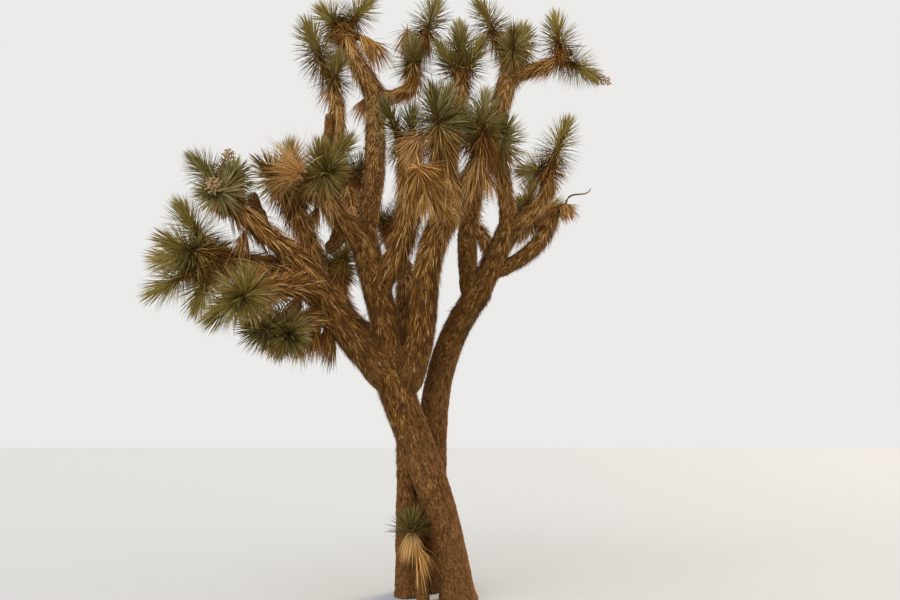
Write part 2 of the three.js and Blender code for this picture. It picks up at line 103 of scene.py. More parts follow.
LIMBS = [
    stem("trunk", (0, 0), (-0.7, 0, 2.22), (0.143, 0.186), (0.025, 0.06), 0.042, out=(-0.12, 0, 1),
         end=(-0.33, 0, 1)),
    stem("rear_stem", (-0.33, 0.46), (0.25, 0.45, 3.22), (0.172, 0.138), (0.03, 0.055),
         0.045, end=(0.62, 0, 0.78)),
    stem("left_stem", (-0.5, 0.16), (-0.545, 0.05, 1.7), (0.122, 0.108), (0.025, 0.045),
         0.03, out=(-0.05, 0, 1)),
    stem("sprout_stem", (-0.345, -0.12), (-0.465, -0.15, 0.55), (0.05, 0.044), (0.04, 0.1),
         0.014, out=(-0.1, 0, 1)),
    limb("middle_bough", "trunk", ROOTED, (-1.05, 0, 3.84), (0.17, 0.135), (0.06, 0.1), (-0.05, 0.05, 1)),
    limb("left_bough", "trunk", ROOTED, (-1.52, -0.7, 3.21), (0.162, 0.124), (0.06, 0.14),
         (-0.8, -0.25, 0.75)),
    limb("right_middle_bough", "trunk", 0.92, (-0.09, -0.32, 3.93), (0.15, 0.126), (0.06, 0.13),
         (0.75, -0.15, 1), (0.75, -0.1, 1)),
    limb("back_bough", "trunk", 0.93, (-0.62, 0.95, 3.45), (0.122, 0.098), (0.08, 0.15), (0.1, 0.7, 0.8)),
    limb("centre_bough", "middle_bough", 0.62, (-0.52, -0.3, 4.42), (0.128, 0.1), (0.13, 0.22),
         (0.9, -0.3, 0.8), (-0.05, -0.1, 1)),
    limb("left_upper_bough", "left_bough", ROOTED, (-2.18, -1.03, 3.8), (0.108, 0.074), (0.17, 0.24)),
    limb("left_outer_bough", "left_bough", ROOTED, (-2.29, -0.85, 3.26), (0.104, 0.074), (0.16, 0.22),
         (-1, -0.1, 0.1), (-1, -0.15, 0.05)),
    limb("left_front_bough", "left_bough", 0.86, (-1.8, -1.4, 2.84), (0.096, 0.07), (0.18, 0.25),
         (-0.3, -1, -0.1), (-0.15, -1, -0.2)),
    limb("left_low_bough", "left_bough", 0.62, (-1.64, -0.84, 2.6), (0.09, 0.068), (0.15, 0.22),
         (-0.6, -0.6, -0.1), (-0.6, -0.8, -0.5)),
    limb("left_inner_bough", "left_bough", ROOTED, (-1.72, -0.5, 3.98), (0.1, 0.08), (0.14, 0.24),
         (0.25, 0.4, 1), (-0.3, 0, 1)),
    limb("tall_left_bough", "middle_bough", ROOTED, (-0.97, 0.3, 5.62), (0.112, 0.092), (0.06, 0.12),
         (0.25, 0.1, 1)),
    limb("inner_left_bough", "middle_bough", 0.9, (-1.43, -0.6, 4.07), (0.115, 0.084), (0.11, 0.2),
         (-0.7, -0.5, 0.6)),
    limb("upper_left_bough", "inner_left_bough", 0.7, (-1.37, -0.26, 5.3), (0.084, 0.064), (0.08, 0.12),
         (-0.2, 0.4, 1), (-0.25, 0, 1)),
    limb("inner_back_bough", "middle_bough", 0.82, (-1.35, 0.85, 4.65), (0.092, 0.066), (0.12, 0.22),
         (-0.3, 0.8, 0.6)),
    limb("top_left_bough", "tall_left_bough", ROOTED, (-1.37, 0.3, 6.38), (0.104, 0.08), (0.12, 0.22),
         (-0.5, 0, 1)),
    limb("top_middle_bough", "tall_left_bough", 0.955, (-0.56, 0.3, 5.76), (0.08, 0.068), (0.06, 0.16),
         (1, 0, 0.05), (0.3, 0, 1)),
    limb("front_bough", "right_middle_bough", ROOTED, (-0.35, -0.96, 4.06), (0.104, 0.074), (0.18, 0.26),
         (-0.1, -1, 0.3)),
    limb("front_upper_bough", "right_middle_bough", ROOTED, (-0.17, -0.8, 4.37), (0.106, 0.074),
         (0.18, 0.26), end=(0, -0.25, 1)),
    limb("right_front_bough", "right_middle_bough", ROOTED, (0.22, -0.6, 4.45), (0.104, 0.072),
         (0.15, 0.24), (0.5, -0.4, 1), (0.25, -0.4, 1)),
    limb("slender_bough", "right_middle_bough", 0.92, (0.04, 0, 5.54), (0.076, 0.06), (0.06, 0.18),
         (0, 0.6, 1)),
    limb("back_left_bough", "back_bough", 0.4, (-1.5, 1.2, 3.55), (0.1, 0.066), (0.09, 0.22),
         (-1, 0.3, 0.4), (-0.1, 0.1, 1)),
    limb("back_upper_bough", "back_bough", ROOTED, (-0.85, 1.7, 4.3), (0.086, 0.066), (0.13, 0.22)),
    limb("tall_right_bough", "rear_stem", ROOTED, (0.66, 0.6, 6.08), (0.116, 0.092), (0.05, 0.13),
         (-0.25, 0, 1), (0.25, 0, 1)),
    limb("right_bough", "rear_stem", ROOTED, (0.58, 0.35, 3.98), (0.124, 0.108), (0.06, 0.09),
         (0.6, -0.05, 1)),
    limb("right_low_bough", "right_bough", 0.38, (1.13, 0.56, 4.17), (0.088, 0.07), (0.05, 0.14),
         (1, 0.1, 0.25), (0.35, 0, 1)),
    limb("right_back_bough", "rear_stem", 0.88, (0.45, 1.35, 3.9), (0.104, 0.086), (0.08, 0.14),
         (0.1, 0.9, 0.5)),
    limb("right_inner_bough", "right_bough", ROOTED, (0.5, 0.25, 4.7), (0.09, 0.07), (0.06, 0.15)),
    limb("right_outer_bough", "right_bough", ROOTED, (1.04, 0.2, 4.5), (0.09, 0.068), (0.05, 0.14),
         (0.9, -0.1, 0.3), (-0.05, 0, 1)),
    limb("top_right_bough", "tall_right_bough", ROOTED, (1.23, 0.5, 6.17), (0.084, 0.062), (0.09, 0.2),
         (0.9, -0.1, 0.3), (1, -0.1, 0.6)),
    limb("back_right_bough", "right_back_bough", ROOTED, (0.95, 1.72, 4.48), (0.08, 0.064), (0.12, 0.22)),
    limb("back_middle_bough", "right_back_bough", ROOTED, (0.15, 1.85, 4.7), (0.08, 0.064), (0.12, 0.22)),
    stub("inner_left_stub", "inner_left_bough", 0.3, (-1.39, -0.25, 3.53), (0.095, 0.062),
         (-0.9, -0.2, -0.2)),
    stub("upper_left_stub", "upper_left_bough", 0.12, (-1.4, -0.35, 5.0), (0.058, 0.05), (-0.5, -0.2, 1)),
    stub("left_upper_stub", "left_upper_bough", 0.6, (-2.04, -0.85, 3.92), (0.062, 0.052), (0, 0, 1)),
    stub("top_right_stub", "top_right_bough", 0.9, (1.42, 0.46, 6.27), (0.036, 0.026), (1, 0, 0.4)),
]
LIMB = {one["name"]: one for one in LIMBS}
FORKS = {one["start"] for one in LIMBS if "start" in one and "broken" not in one}  # those that fork

# The boughs whose bark is joined in one piece, by the first part of their names
BOUGH_GROUPS = {
    "middle": "middle centre inner_left inner_back upper_left",
    "left": "left left_upper left_outer left_front left_low left_inner",
    "front": "right_middle front front_upper right_front slender",
    "top": "tall_left top_left top_middle",
    "right": "right right_low right_inner right_outer",
    "tall_right": "tall_right top_right",
    "back": "back back_left back_upper right_back back_right back_middle",
}

# The deep shade green is a deep green that is also painted shade under each head.
OLIVE, GREY_GREEN, DEEP_SHADE_GREEN, YELLOW_GREEN, PALE_GREEN = range(5)


def fan(heads, turn, spread, reach):
    """Twigs set evenly round a bough's heading: how many, the angle of the first, their spread in
    degrees and their length."""
    return dict(heads=heads, turn=turn, spread=spread, reach=reach)


def mass(on, twigs, leaf, **more):
    """Heads of leaves on the tip of the limb named in on. Twigs is a fan, or says how far each bud is
    from the fork. Leaf is a leaf's length, stem that of the short stem before the fork. The first heads
    are dead, as many as dry says: their leaves point to sweep, spread by that angle, longer by blade and
    as pale as pale says. Stalks are the heads that carry a flower stalk, stalk is its length, and bare
    says that its flowers are gone. Skirt is the share of dead leaves under each head, hang how far they
    turn down, age their colour, tint the green that most leaves have, and pitch the angle in degrees
    between the lowest green leaf and the twig."""
    usual = dict(stem=0.08, dry=0, sweep=(0, 0, -1), spread=60, blade=1.0, pale=2.4, stalks=(), stalk=0.2,
                 bare=False, skirt=1.0, hang=0.35, age=0.8, tint=OLIVE, pitch=122)
    return dict(name=on.rsplit("_", 1)[0] + "_leaves", on=on, twigs=twigs, leaf=leaf, **{**usual, **more})


MASSES = [
    mass("sprout_stem", [(0, -0.01, 0.15)], 0.24, stem=0.06, tint=DEEP_SHADE_GREEN, pitch=88, hang=1.2, age=2.4,
         skirt=1.1),
    mass("left_upper_bough", [(0, -0.35, -0.15), (-0.25, -0.1, 0.25), (-0.05, 0.3, 0.35)],
         0.25, stalks=(0, 2), stalk=0.17, skirt=1.2, tint=GREY_GREEN),
    mass("left_outer_bough", [(-0.3, -0.1, 0.45), (-0.28, -0.28, 0.06), (-0.6, 0.25, 0.05),
                              (-0.4, -0.15, -0.35), (-0.15, 0.1, -0.4)],
         0.3, skirt=1.6, tint=YELLOW_GREEN),
    mass("left_front_bough", [(0, -0.3, -0.15), (-0.25, 0, -0.2)], 0.29, skirt=1.2),
    mass("left_low_bough", [(-0.15, -0.3, -0.05), (0.15, -0.2, -0.1)], 0.27, skirt=2.2, tint=DEEP_SHADE_GREEN),
    mass("left_inner_bough", [(-0.15, -0.45, 0.1), (-0.05, 0.05, 0.5)], 0.29, skirt=1.4),
    mass("inner_left_bough", [(-0.05, -0.4, -0.05), (0.05, -0.1, 0.3), (0.3, -0.1, 0.35),
                              (0.22, -0.3, 0.05)],
         0.28, dry=1, sweep=(-0.8, -0.3, 0.35), spread=80, blade=2.0, pale=2.9, skirt=0.55),
    mass("upper_left_bough", [(-0.33, 0.05, 0.75), (0.05, -0.1, 0.25)], 0.29, skirt=0.5, hang=0),
    mass("inner_back_bough", fan(3, 30, 45, 0.43), 0.29, stalks=(1,), stalk=0.3, tint=DEEP_SHADE_GREEN),
    mass("top_left_bough", [(0.4, -0.1, -0.25), (0.3, 0, 0.4), (-0.2, -0.05, 0.2)],
         0.29, dry=1, sweep=(0.4, -0.1, -0.9), spread=40, blade=1.4, skirt=1.2, tint=YELLOW_GREEN),
    mass("top_middle_bough", [(-0.1, 0.25, 0.75), (0, -0.1, 0.35), (0.3, 0.1, 0.95)],
         0.29, dry=1, tint=GREY_GREEN),
    mass("centre_bough", [(0.15, -0.55, 0.05), (-0.22, -0.35, 0.43), (0, -0.05, 0.5)],
         0.3, dry=1, sweep=(-0.5, -0.4, -0.9), spread=52, blade=1.1, pale=3.3, skirt=1.3, tint=DEEP_SHADE_GREEN),
    mass("front_bough", [(0, -0.15, -0.05)],
         0.3, dry=1, sweep=(0.9, -0.3, -0.6), spread=28, pale=1.6, skirt=1.2),
    mass("front_upper_bough", [(-0.1, -0.35, 0.36), (0.05, 0.2, 0.65)], 0.32, skirt=1.5, tint=DEEP_SHADE_GREEN),
    mass("right_front_bough", [(0.05, 0.1, 0.58), (-0.15, 0.4, 0.5)], 0.3, skirt=0.8, tint=GREY_GREEN),
    mass("slender_bough", [(-0.27, 0, 0.42), (-0.02, 0.15, 0.78), (0.2, -0.05, 0.42)],
         0.24, skirt=0.6, pitch=88),
    mass("back_left_bough", fan(3, 50, 45, 0.43), 0.29),
    mass("back_upper_bough", fan(3, 0, 45, 0.44), 0.29),
    mass("tall_right_bough", [(-0.42, 0.05, 0.85), (0, -0.35, 0.17), (0.2, 0.35, 0.7)], 0.29),
    mass("top_right_bough", [(-0.06, 0, 0.48), (0.31, 0, -0.22)],
         0.28, stalks=(1,), pitch=100, skirt=0.6, tint=YELLOW_GREEN),
    mass("right_inner_bough", [(0.05, -0.6, 0.1)], 0.29, tint=GREY_GREEN),
    mass("right_outer_bough", [(0.2, -0.05, 0.53), (-0.2, 0.1, 0.05)], 0.29, skirt=0.7, tint=YELLOW_GREEN),
    mass("right_low_bough", [(0.14, -0.03, 0.06)], 0.2, dry=1, sweep=(0.3, 0, -0.9), stalks=(0,), stalk=0.24,
         bare=True),
    mass("back_right_bough", fan(3, 0, 42, 0.43), 0.29, tint=YELLOW_GREEN),
    mass("back_middle_bough", fan(3, 40, 42, 0.43), 0.29),
]
MASS_NAMES = [one["name"] for one in MASSES]

# Worn heads whose dead leaves hang in a mop: the limb, the share of its length, the angle round it,
# the length of the leaves, how many there are and how pale
MOPS = [
    ("front_bough", 0.85, 265, 0.24, 90, 2.4),
    ("front_upper_bough", 0.75, 300, 0.28, 120, 2.4),
    ("right_front_bough", 0.8, 300, 0.26, 100, 2.4),
    ("inner_left_bough", 0.8, 220, 0.22, 90, 2.4),
    ("left_bough", 0.86, 215, 0.32, 150, 2.2),
    ("left_bough", 0.66, 200, 0.3, 130, 1.4),
    ("left_bough", 0.5, 200, 0.26, 130, 1.0),
    ("left_low_bough", 0.15, 250, 0.25, 120, 1.2),
    ("left_low_bough", 0.4, 250, 0.25, 120, 1.2),
    ("left_low_bough", 0.75, 260, 0.24, 120, 1.6),
    ("left_upper_bough", 0.7, 240, 0.3, 110, 2.4),
    ("tall_left_bough", 0.98, 250, 0.26, 100, 2.4),
    ("sprout_stem", 0.99, 50, 0.3, 60, 2.4),
]


# The source's rules


def random(seed):
    """A fixed run of numbers from 0 to 1 for each seed."""
    state = seed * 7919 + 17

    def draw():
        nonlocal state
        state = (state * 16807) % 2147483647
        return state / 2147483647

    return draw


def unit(vectors):
    """The vectors at length 1."""
    vectors = np.asarray(vectors, dtype=float)
    return vectors / np.maximum(np.linalg.norm(vectors, axis=-1, keepdims=True), 1e-9)


class Line:
    """The centre line of a limb, with a frame that travels along it without twist."""

    STEPS, FINE = 200, 60

    def __init__(self, *corners):
        self.corners = np.array(corners, dtype=float)
        steps = self._bezier(np.linspace(0, 1, self.STEPS + 1))
        self.run = np.concatenate([[0], np.cumsum(np.linalg.norm(np.diff(steps, axis=0), axis=1))])
        self.length = self.run[-1]
        self._frames()

    def _bezier(self, t):
        t = np.asarray(t, dtype=float)[..., None]
        a, b, c, d = self.corners
        return (1 - t) ** 3 * a + 3 * (1 - t) ** 2 * t * b + 3 * (1 - t) * t**2 * c + t**3 * d

    def _parameter(self, share):
        return np.interp(np.asarray(share) * self.length, self.run, np.arange(self.STEPS + 1) / self.STEPS)

    def point(self, share):
        """The place at a share of the length. Past the tip it goes straight on."""
        share = np.asarray(share, dtype=float)
        past = np.maximum(share - 1, 0)[..., None] * self.length
        return self._bezier(self._parameter(np.minimum(share, 1))) + past * self.tangent(1.0)

    def tangent(self, share):
        """The heading at a share of the length."""
        t = self._parameter(np.clip(share, 0, 1))
        return unit(self._bezier(np.minimum(t + 1e-4, 1)) - self._bezier(np.maximum(t - 1e-4, 0)))

    def _frames(self):
        tangents = self.tangent(np.arange(self.FINE + 1) / self.FINE)
        axis = np.zeros(3)
        axis[2 - int(np.argmin(np.abs(tangents[0])[::-1]))] = 1
        normals = [np.cross(tangents[0], unit(np.cross(tangents[0], axis)))]
        for before, after in zip(tangents, tangents[1:]):
            normal, around = normals[-1], np.cross(before, after)
            if np.linalg.norm(around) > 1e-9:
                around = unit(around)
                angle = math.acos(np.clip(before @ after, -1, 1))
                normal = (normal * math.cos(angle) + np.cross(around, normal) * math.sin(angle)
                          + around * (around @ normal) * (1 - math.cos(angle)))
            normals.append(normal)
        self.normals = np.array(normals)

    def outward(self, share, angle):
        """The direction out of the limb at an angle round it."""
        at = np.clip(share, 0, 1) * self.FINE
        low = np.minimum(at.astype(int), self.FINE - 1)
        mixed = (at - low)[..., None]
        heading = self.tangent(share)
        normal = self.normals[low] * (1 - mixed) + self.normals[low + 1] * mixed
        normal = unit(normal - heading * np.sum(normal * heading, axis=-1, keepdims=True))
        return np.cross(heading, normal) * np.cos(angle)[..., None] + normal * np.sin(angle)[..., None]


def centre_line(one):
    """The line of a stem or a limb, which leaves its parent's heading and bends to its tip."""
    tip = np.array(one["tip"], dtype=float)
    parent = LINES.get(one.get("start"))
    start = np.array([*one["foot"], 0.0]) if parent is None else parent.point(one["at"])
    chord = tip - start
    heading = UP if parent is None else parent.tangent(one["at"])
    out = unit(one["out"] or heading + unit(chord))
    end = unit(one["end"] or unit(chord) + TIP_RISE * UP)
    pull = np.linalg.norm(chord) * PULL
    first, second = start + out * pull, tip - end * pull
    if parent is None:
        start = start - out * UNDERGROUND
    return Line(start, first, second, tip)


LINES = {}
for one in LIMBS:
    LINES[one["name"]] = centre_line(one)


def limb_radius(one, index):
    """The radius of a limb at a share and an angle: a taper with lumps, the root flare or a collar."""
    draw = random(index + 1)
    first, second, third = (draw() * TURN for _ in range(3))
    line = LINES[one["name"]]
    parent = LIMB.get(one.get("start"))

    def radius(share, angle):
        share_in = np.minimum(share, 1)
        taper = one["thick"][0] + (one["thick"][1] - one["thick"][0]) * share_in
        lumps = np.sin(2 * angle + first + 4 * share_in) + np.sin(3 * angle + second - 7 * share_in)
        result = taper * (1 + LUMPS * lumps)
        if "flare" in one:
            height = np.maximum(line.point(share)[..., 2], 0)
            lobes = 1 + 0.3 * np.sin(FLARE_LOBES * angle + third)
            result = result + one["flare"] * lobes * np.exp(-height / FLARE_HEIGHT)
        if parent:
            bare = share * line.length - parent["thick"][1]
            result = result * (1 + COLLAR * np.exp(-((bare / COLLAR_LENGTH) ** 2)))
        return result

    return radius


RADIUS = {one["name"]: limb_radius(one, index) for index, one in enumerate(LIMBS)}


def across(heading):
    """Two directions square to each heading."""
    heading = np.asarray(heading, dtype=float)
    level = np.where(np.abs(heading[..., 2:]) < 0.9, UP, np.array([1.0, 0, 0]))
    side = unit(np.cross(level, heading))
    return side, np.cross(heading, side)


def aside(heading, angle):
    """The direction square to the heading at an angle round it."""
    side, front = across(heading)
    angle = np.asarray(angle)[..., None]
    return side * np.cos(angle) + front * np.sin(angle)


def turned(heading, tilt, angle):
    """The heading tilted away, towards an angle round it."""
    tilt = np.asarray(tilt)[..., None]
    return heading * np.cos(tilt) + np.sin(tilt) * aside(heading, angle)


def twig_ways(twigs, heading, draw):
    """How far the bud of each twig is from the fork, before the rule's own changes."""
    if not isinstance(twigs, dict):
        return [np.array(way, dtype=float) for way in twigs]
    ways = []
    for k in range(twigs["heads"]):
        angle = math.radians(twigs["turn"] + 360 * k / twigs["heads"] + (draw() - 0.5) * 20)
        tilt = math.radians(twigs["spread"] * (0.9 + 0.2 * draw()))
        ways.append(unit(turned(heading, tilt, angle) + UP * TWIG_LIFT) * twigs["reach"])
    return ways


def grow_twigs(one, seed):
    """The twigs of a mass, by its seeded rule."""
    draw = random(seed)
    line = LINES[one["on"]]
    heading = line.tangent(1.0)
    root = line.point(1.0) + heading * GAP
    twigs = []
    for rank, way in enumerate(twig_ways(one["twigs"], heading, draw)):
        length = np.linalg.norm(way) * (0.94 + 0.12 * draw())
        way = turned(unit(way), math.radians(4 * draw()), TURN * draw())
        twigs.append(dict(root=root, heading=heading, fork=root + heading * one["stem"], way=way, owner=one,
                          length=length, rank=rank, leafy=max(LEAFY_FROM, 1 - HEAD_LENGTH / length)))
    return twigs


TWIGS = [twig for index, one in enumerate(MASSES) for twig in grow_twigs(one, 100 + index)]


# Meshes from arrays


def build(name, corners, triangles, quads=np.empty((0, 4), int), smooth=True, **held):
    """An object whose mesh has these corners and faces, and holds numbers or vectors for each corner."""
    mesh = bpy.data.meshes.new(name)
    mesh.vertices.add(len(corners))
    mesh.vertices.foreach_set("co", np.ascontiguousarray(corners, dtype=np.float32).ravel())
    loops = np.concatenate([quads.ravel(), triangles.ravel()]).astype(np.int32)
    starts = np.concatenate([np.arange(len(quads)) * 4, len(quads) * 4 + np.arange(len(triangles)) * 3])
    mesh.loops.add(len(loops))
    mesh.loops.foreach_set("vertex_index", loops)
    mesh.polygons.add(len(starts))
    mesh.polygons.foreach_set("loop_start", starts.astype(np.int32))
    for key, values in held.items():
        kind, field = ("FLOAT_VECTOR", "vector") if np.ndim(values) == 2 else ("FLOAT", "value")
        layer = mesh.attributes.new(key, kind, "POINT")
        layer.data.foreach_set(field, np.ascontiguousarray(values, dtype=np.float32).ravel())
    mesh.update(calc_edges=True)
    mesh.validate()
    if not smooth:
        mesh.shade_flat()
    made = bpy.data.objects.new(name, mesh)
    bpy.context.scene.collection.objects.link(made)
    return made


def place(made, material, slot, *nodes):
    """Gives a piece its finish and its body, and hides the CAD nodes that it stands for."""
    made.data.materials.append(material)
    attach(made, "root")
    if nodes:
        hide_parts(*nodes)


class Tubes:
    """Closed tubes joined in one mesh, with what it holds for each of their corners."""

    def __init__(self):
        self.tubes, self.count = [], 0

    def add(self, points, ends, around, **held):
        """A tube from its points, ring by ring, and the middles of its ends."""
        ring, column = np.meshgrid(np.arange(len(points) // around - 1), np.arange(around), indexing="ij")
        a, b = ring * around + column, ring * around + (column + 1) % around
        quads = np.stack([a, b, b + around, a + around], axis=-1).reshape(-1, 4)
        here, after = np.arange(around), (np.arange(around) + 1) % around
        top, middle = len(points) - around, np.full(around, len(points))
        fans = [np.stack([after, here, middle], axis=1),
                np.stack([here + top, after + top, middle + 1], axis=1)]
        self.tubes.append(dict(corners=np.concatenate([points, ends]), quads=quads + self.count,
                               triangles=np.concatenate(fans) + self.count, **held))
        self.count += len(points) + 2

    def bend(self, line, radius, around, heading=None, **held):
        """A tube along a line. Radius is one number for each ring, or a number for each of its points."""
        side, front = across(unit(np.gradient(line, axis=0)) if heading is None else heading)
        angle = CIRCLE * np.arange(around) / around
        ring = side[:, None] * np.cos(angle)[None, :, None] + front[:, None] * np.sin(angle)[None, :, None]
        points = line[:, None] + ring * radius.reshape(len(line), -1, 1)
        self.add(points.reshape(-1, 3), line[[0, -1]], around, **held)

    def piece(self, name):
        """The object."""
        parts = {key: np.concatenate([tube[key] for tube in self.tubes]) for key in self.tubes[0]}
        return build(name, **parts)


# Bark

PLATE_EDGE = 0.32  # how far the crevices reach into a plate, as a share of its size
LUMP_SIZE, LUMP_HEIGHT = 0.09, 0.006
FIBRE_SIZE = np.array([0.012, 0.012, 0.045])
ROUND_TIP, BROKEN_TIP = 0.95, 0.2  # how much of a tip is rounded, as a share of its radius
PAST_TIP = 0.85  # how far a rounded tip goes on past its line, as a share of its radius


def hashed(corner, seed):
    """Three fixed numbers from 0 to 1 for each whole-number corner."""
    mixed = (corner[:, 0] * 73856093) ^ (corner[:, 1] * 19349663) ^ (corner[:, 2] * 83492791)
    mixed = mixed ^ (seed * 265443)
    columns = []
    for _ in range(4):
        mixed = (mixed * 1103515245 + 12345) & 0x7FFFFFFF
        columns.append((mixed >> 8) / float(0x7FFFFF))
    return np.stack(columns[1:], axis=1)


def smoothed(share):
    """A share from 0 to 1 that starts and ends gently."""
    return share * share * (3 - 2 * share)


def plates(points, seed):
    """For each point how far it is inside its plate, from 0 on the border, and the plate's own number."""
    base = np.floor(points).astype(np.int64)
    near, second, own = np.full(len(points), 9.0), np.full(len(points), 9.0), np.zeros(len(points))
    for step in np.ndindex(3, 3, 3):
        corner = base + (np.array(step) - 1)
        jitter = hashed(corner, seed)
        away = np.linalg.norm(corner + jitter - points, axis=1)
        second = np.minimum(second, np.maximum(away, near))
        own = np.where(away < near, jitter[:, 0] * 7.3 % 1, own)
        near = np.minimum(near, away)
    return second - near, own


def swell(points, seed):
    """A smooth run of lumps from -1 to 1."""
    base = np.floor(points).astype(np.int64)
    part = smoothed(points - base)
    total = np.zeros(len(points))
    for step in np.ndindex(2, 2, 2):
        weight = np.prod(np.where(np.array(step), part, 1 - part), axis=1)
        total += weight * hashed(base + np.array(step), seed)[:, 0]
    return total * 2 - 1


def bark_tube(tubes, one, seed, grid, plate, depth):
    """Adds a limb's bark with its relief, from the ground or from inside its parent. Grid is the size of
    its faces across and along, plate that of a plate."""
    line, radius, tip = LINES[one["name"]], RADIUS[one["name"]], one["thick"][1] / LINES[one["name"]].length
    around = max(14, round(CIRCLE * (sum(one["thick"]) / 2) / grid[0]))
    last = 1.0 if "broken" in one or one["name"] in FORKS else 1 + PAST_TIP * tip
    rings = max(6, round(line.length * last / grid[1]))
    dome = last - (BROKEN_TIP if "broken" in one else ROUND_TIP) * tip
    angle = CIRCLE * np.arange(around) / around
    first = np.full(around, 0.0)
    if "foot" in one:
        first[:] = UNDERGROUND / line.length
        for _ in range(12):  # each step brings the foot nearer to the ground
            surface = line.point(first) + line.outward(first, angle) * radius(first, angle)[:, None]
            first -= surface[:, 2] / line.length * 0.9
    share = first + (last - first) * np.linspace(0, 1, rings + 1)[:, None]
    angles = np.broadcast_to(angle, share.shape)
    rounded = np.sqrt(np.clip(1 - (np.maximum(share - dome, 0) / (last - dome + 1e-6)) ** 2, 0.02, 1))
    reach = radius(share, angles) * rounded
    straight = np.stack([reach * np.cos(angles), reach * np.sin(angles), share * line.length], axis=-1)
    straight = straight.reshape(-1, 3) + np.array([seed * 3.1, seed * 1.7, 0])
    inside, own = plates(straight / np.array([plate[0], plate[0], plate[1]]), seed)
    ridge = smoothed(np.clip(inside / PLATE_EDGE, 0, 1))
    rough, fine = swell(straight / LUMP_SIZE, seed + 5), swell(straight / FIBRE_SIZE, seed + 9)
    height = depth * (ridge * (0.55 + 0.75 * own) - 0.6 + 0.35 * fine) + LUMP_HEIGHT * rough
    height = height.reshape(share.shape) * np.clip(rounded * 1.4 - 0.4, 0, 1)
    points = line.point(share) + line.outward(share, angles) * (reach + height)[..., None]
    if "foot" in one:
        points[0, :, 2] = 0.0
        points[..., 2] = np.maximum(points[..., 2], 0.0)
    points = points.reshape(-1, 3)
    # The tone holds painted light: bark higher up is painted paler, as if more lit.
    tone = np.clip(0.4 + 0.5 * (own - 0.5) + 0.3 * fine + 0.7 * painted_light(points), 0, 1.4)
    relief = np.clip(ridge * 0.8 + 0.25 * fine, 0, 1)
    middles = np.stack([points[:around].mean(axis=0), points[-around:].mean(axis=0)])
    tubes.add(points, middles, around, straight=np.concatenate([straight, straight[[0, -1]]]),
              relief=np.append(relief, [0.5, 0.5]), tone=np.append(tone, [0.5, 0.5]))


def painted_light(points):
    """How much painted light what is at these points gets for its height, from 0 to 1: higher parts are
    painted lighter, lower ones stay darker as painted shade.
    """
    return np.clip((points[:, 2] - PAINTED_LIGHT_FROM) / PAINTED_LIGHT_OVER, 0, 1)


def bark_piece(name, members, grid, plate, depth):
    """One mesh of the bark of several limbs and their stubs."""
    tubes = Tubes()
    for index, one in enumerate(LIMBS):
        if one["name"] in members or "broken" in one and one["start"] in members:
            bark_tube(tubes, one, index + 1, grid, plate, depth)
    return tubes.piece(name)


# Leaves

LEAF_PARTS = ("root", "way", "side", "length", "width", "bend")
ROOT_DEPTH = 0.006  # how deep a dead leaf is set in the bark
GOLDEN_ANGLE = 137.508  # from each leaf of a head to the next
HEAD_CORE, TIP_CORE = 0.045, 0.012  # how far from the middle of a twig its first leaves start, and its last


def blades(name, leaves, stations, fold):
    """Many leaves in one mesh, each a strip that bends by the vector in bend and ends in a point.
    Stations gives shares of its length with the width there. With a fold the strip has a keel."""
    tip = leaves["root"] + leaves["way"] * leaves["length"][:, None] + leaves["bend"]
    keep = np.all((tip > LOWEST) & (tip < HIGHEST), axis=1)
    root, way, side, length, width, bend = (leaves[part][keep] for part in LEAF_PARTS)
    side = unit(side - way * np.sum(side * way, axis=1, keepdims=True))
    under = np.cross(way, side)
    rows = []
    for share, wide in stations:
        centre = root + way * (length * share)[:, None] + bend * share**2
        half = side * (width * wide / 2)[:, None]
        keel = centre + under * (width * wide * fold)[:, None]
        rows += [centre - half, keel, centre + half] if fold else [centre - half, centre + half]
    rows.append(tip[keep])
    wide, last = (3 if fold else 2), len(rows) - 1
    quads = [[a, a + 1, a + 1 + wide, a + wide] for a in range(last - wide) if (a + 1) % wide]
    triangles = [[a, a + 1, last] for a in range(last - wide, last - 1)]
    offsets = (np.arange(len(root)) * len(rows))[:, None, None]
    return build(name, np.stack(rows, axis=1).reshape(-1, 3), (triangles + offsets).reshape(-1, 3),
                 (quads + offsets).reshape(-1, 4), smooth=False)


class Sprays:
    """Leaves that are gathered by colour and joined into one piece for each."""

    def __init__(self):
        self.sets = {}

    def add(self, colours, lowest, highest, leaves):
        """Deals leaves out. Colours holds a number for each, which is rounded to that of a colour."""
        colours = np.clip(np.round(colours), lowest, highest).astype(int)
        for colour in np.unique(colours):
            part = {key: value[colours == colour] for key, value in leaves.items()}
            self.sets.setdefault(int(colour), []).append(part)

    def join(self, piece, finish, tones, slot, stations, fold, roughness, nodes=(), **look):
        """Makes one piece and one finish for each colour. Tones are the colours by name."""
        for colour, (name, tone) in enumerate(tones.items()):
            leaves = {key: np.concatenate([part[key] for part in self.sets[colour]]) for key in LEAF_PARTS}
            made = blades(f"{piece}_{name}", leaves, stations, fold)
            place(made, leaf_finish(f"{finish}_{name}", tone, roughness, **look), slot, *nodes)


def limb_places(one, count, rng, first, last):
    """Places on a limb's bark: their shares, angles, points, headings and outward directions."""
    line = LINES[one["name"]]
    share = first + (last - first) * rng.random(count)
    angle = rng.random(count) * CIRCLE
    outward = line.outward(share, angle)
    point = line.point(share) + outward * (RADIUS[one["name"]](share, angle) - ROOT_DEPTH)[:, None]
    return share, angle, point, line.tangent(share), outward


def clumps(one, share, angle, long, wide, seed):
    """A number from 0 to 1 for each place on a limb, which the places of one clump have in common."""
    row = np.floor(angle * np.mean(one["thick"]) / wide).astype(np.int64)
    shift = hashed(np.stack([row, row, row], axis=1), seed)[:, 0]
    along = np.floor(share * LINES[one["name"]].length / long + shift).astype(np.int64)
    return hashed(np.stack([row, along, along * 0 + seed], axis=1), seed)[:, 0]


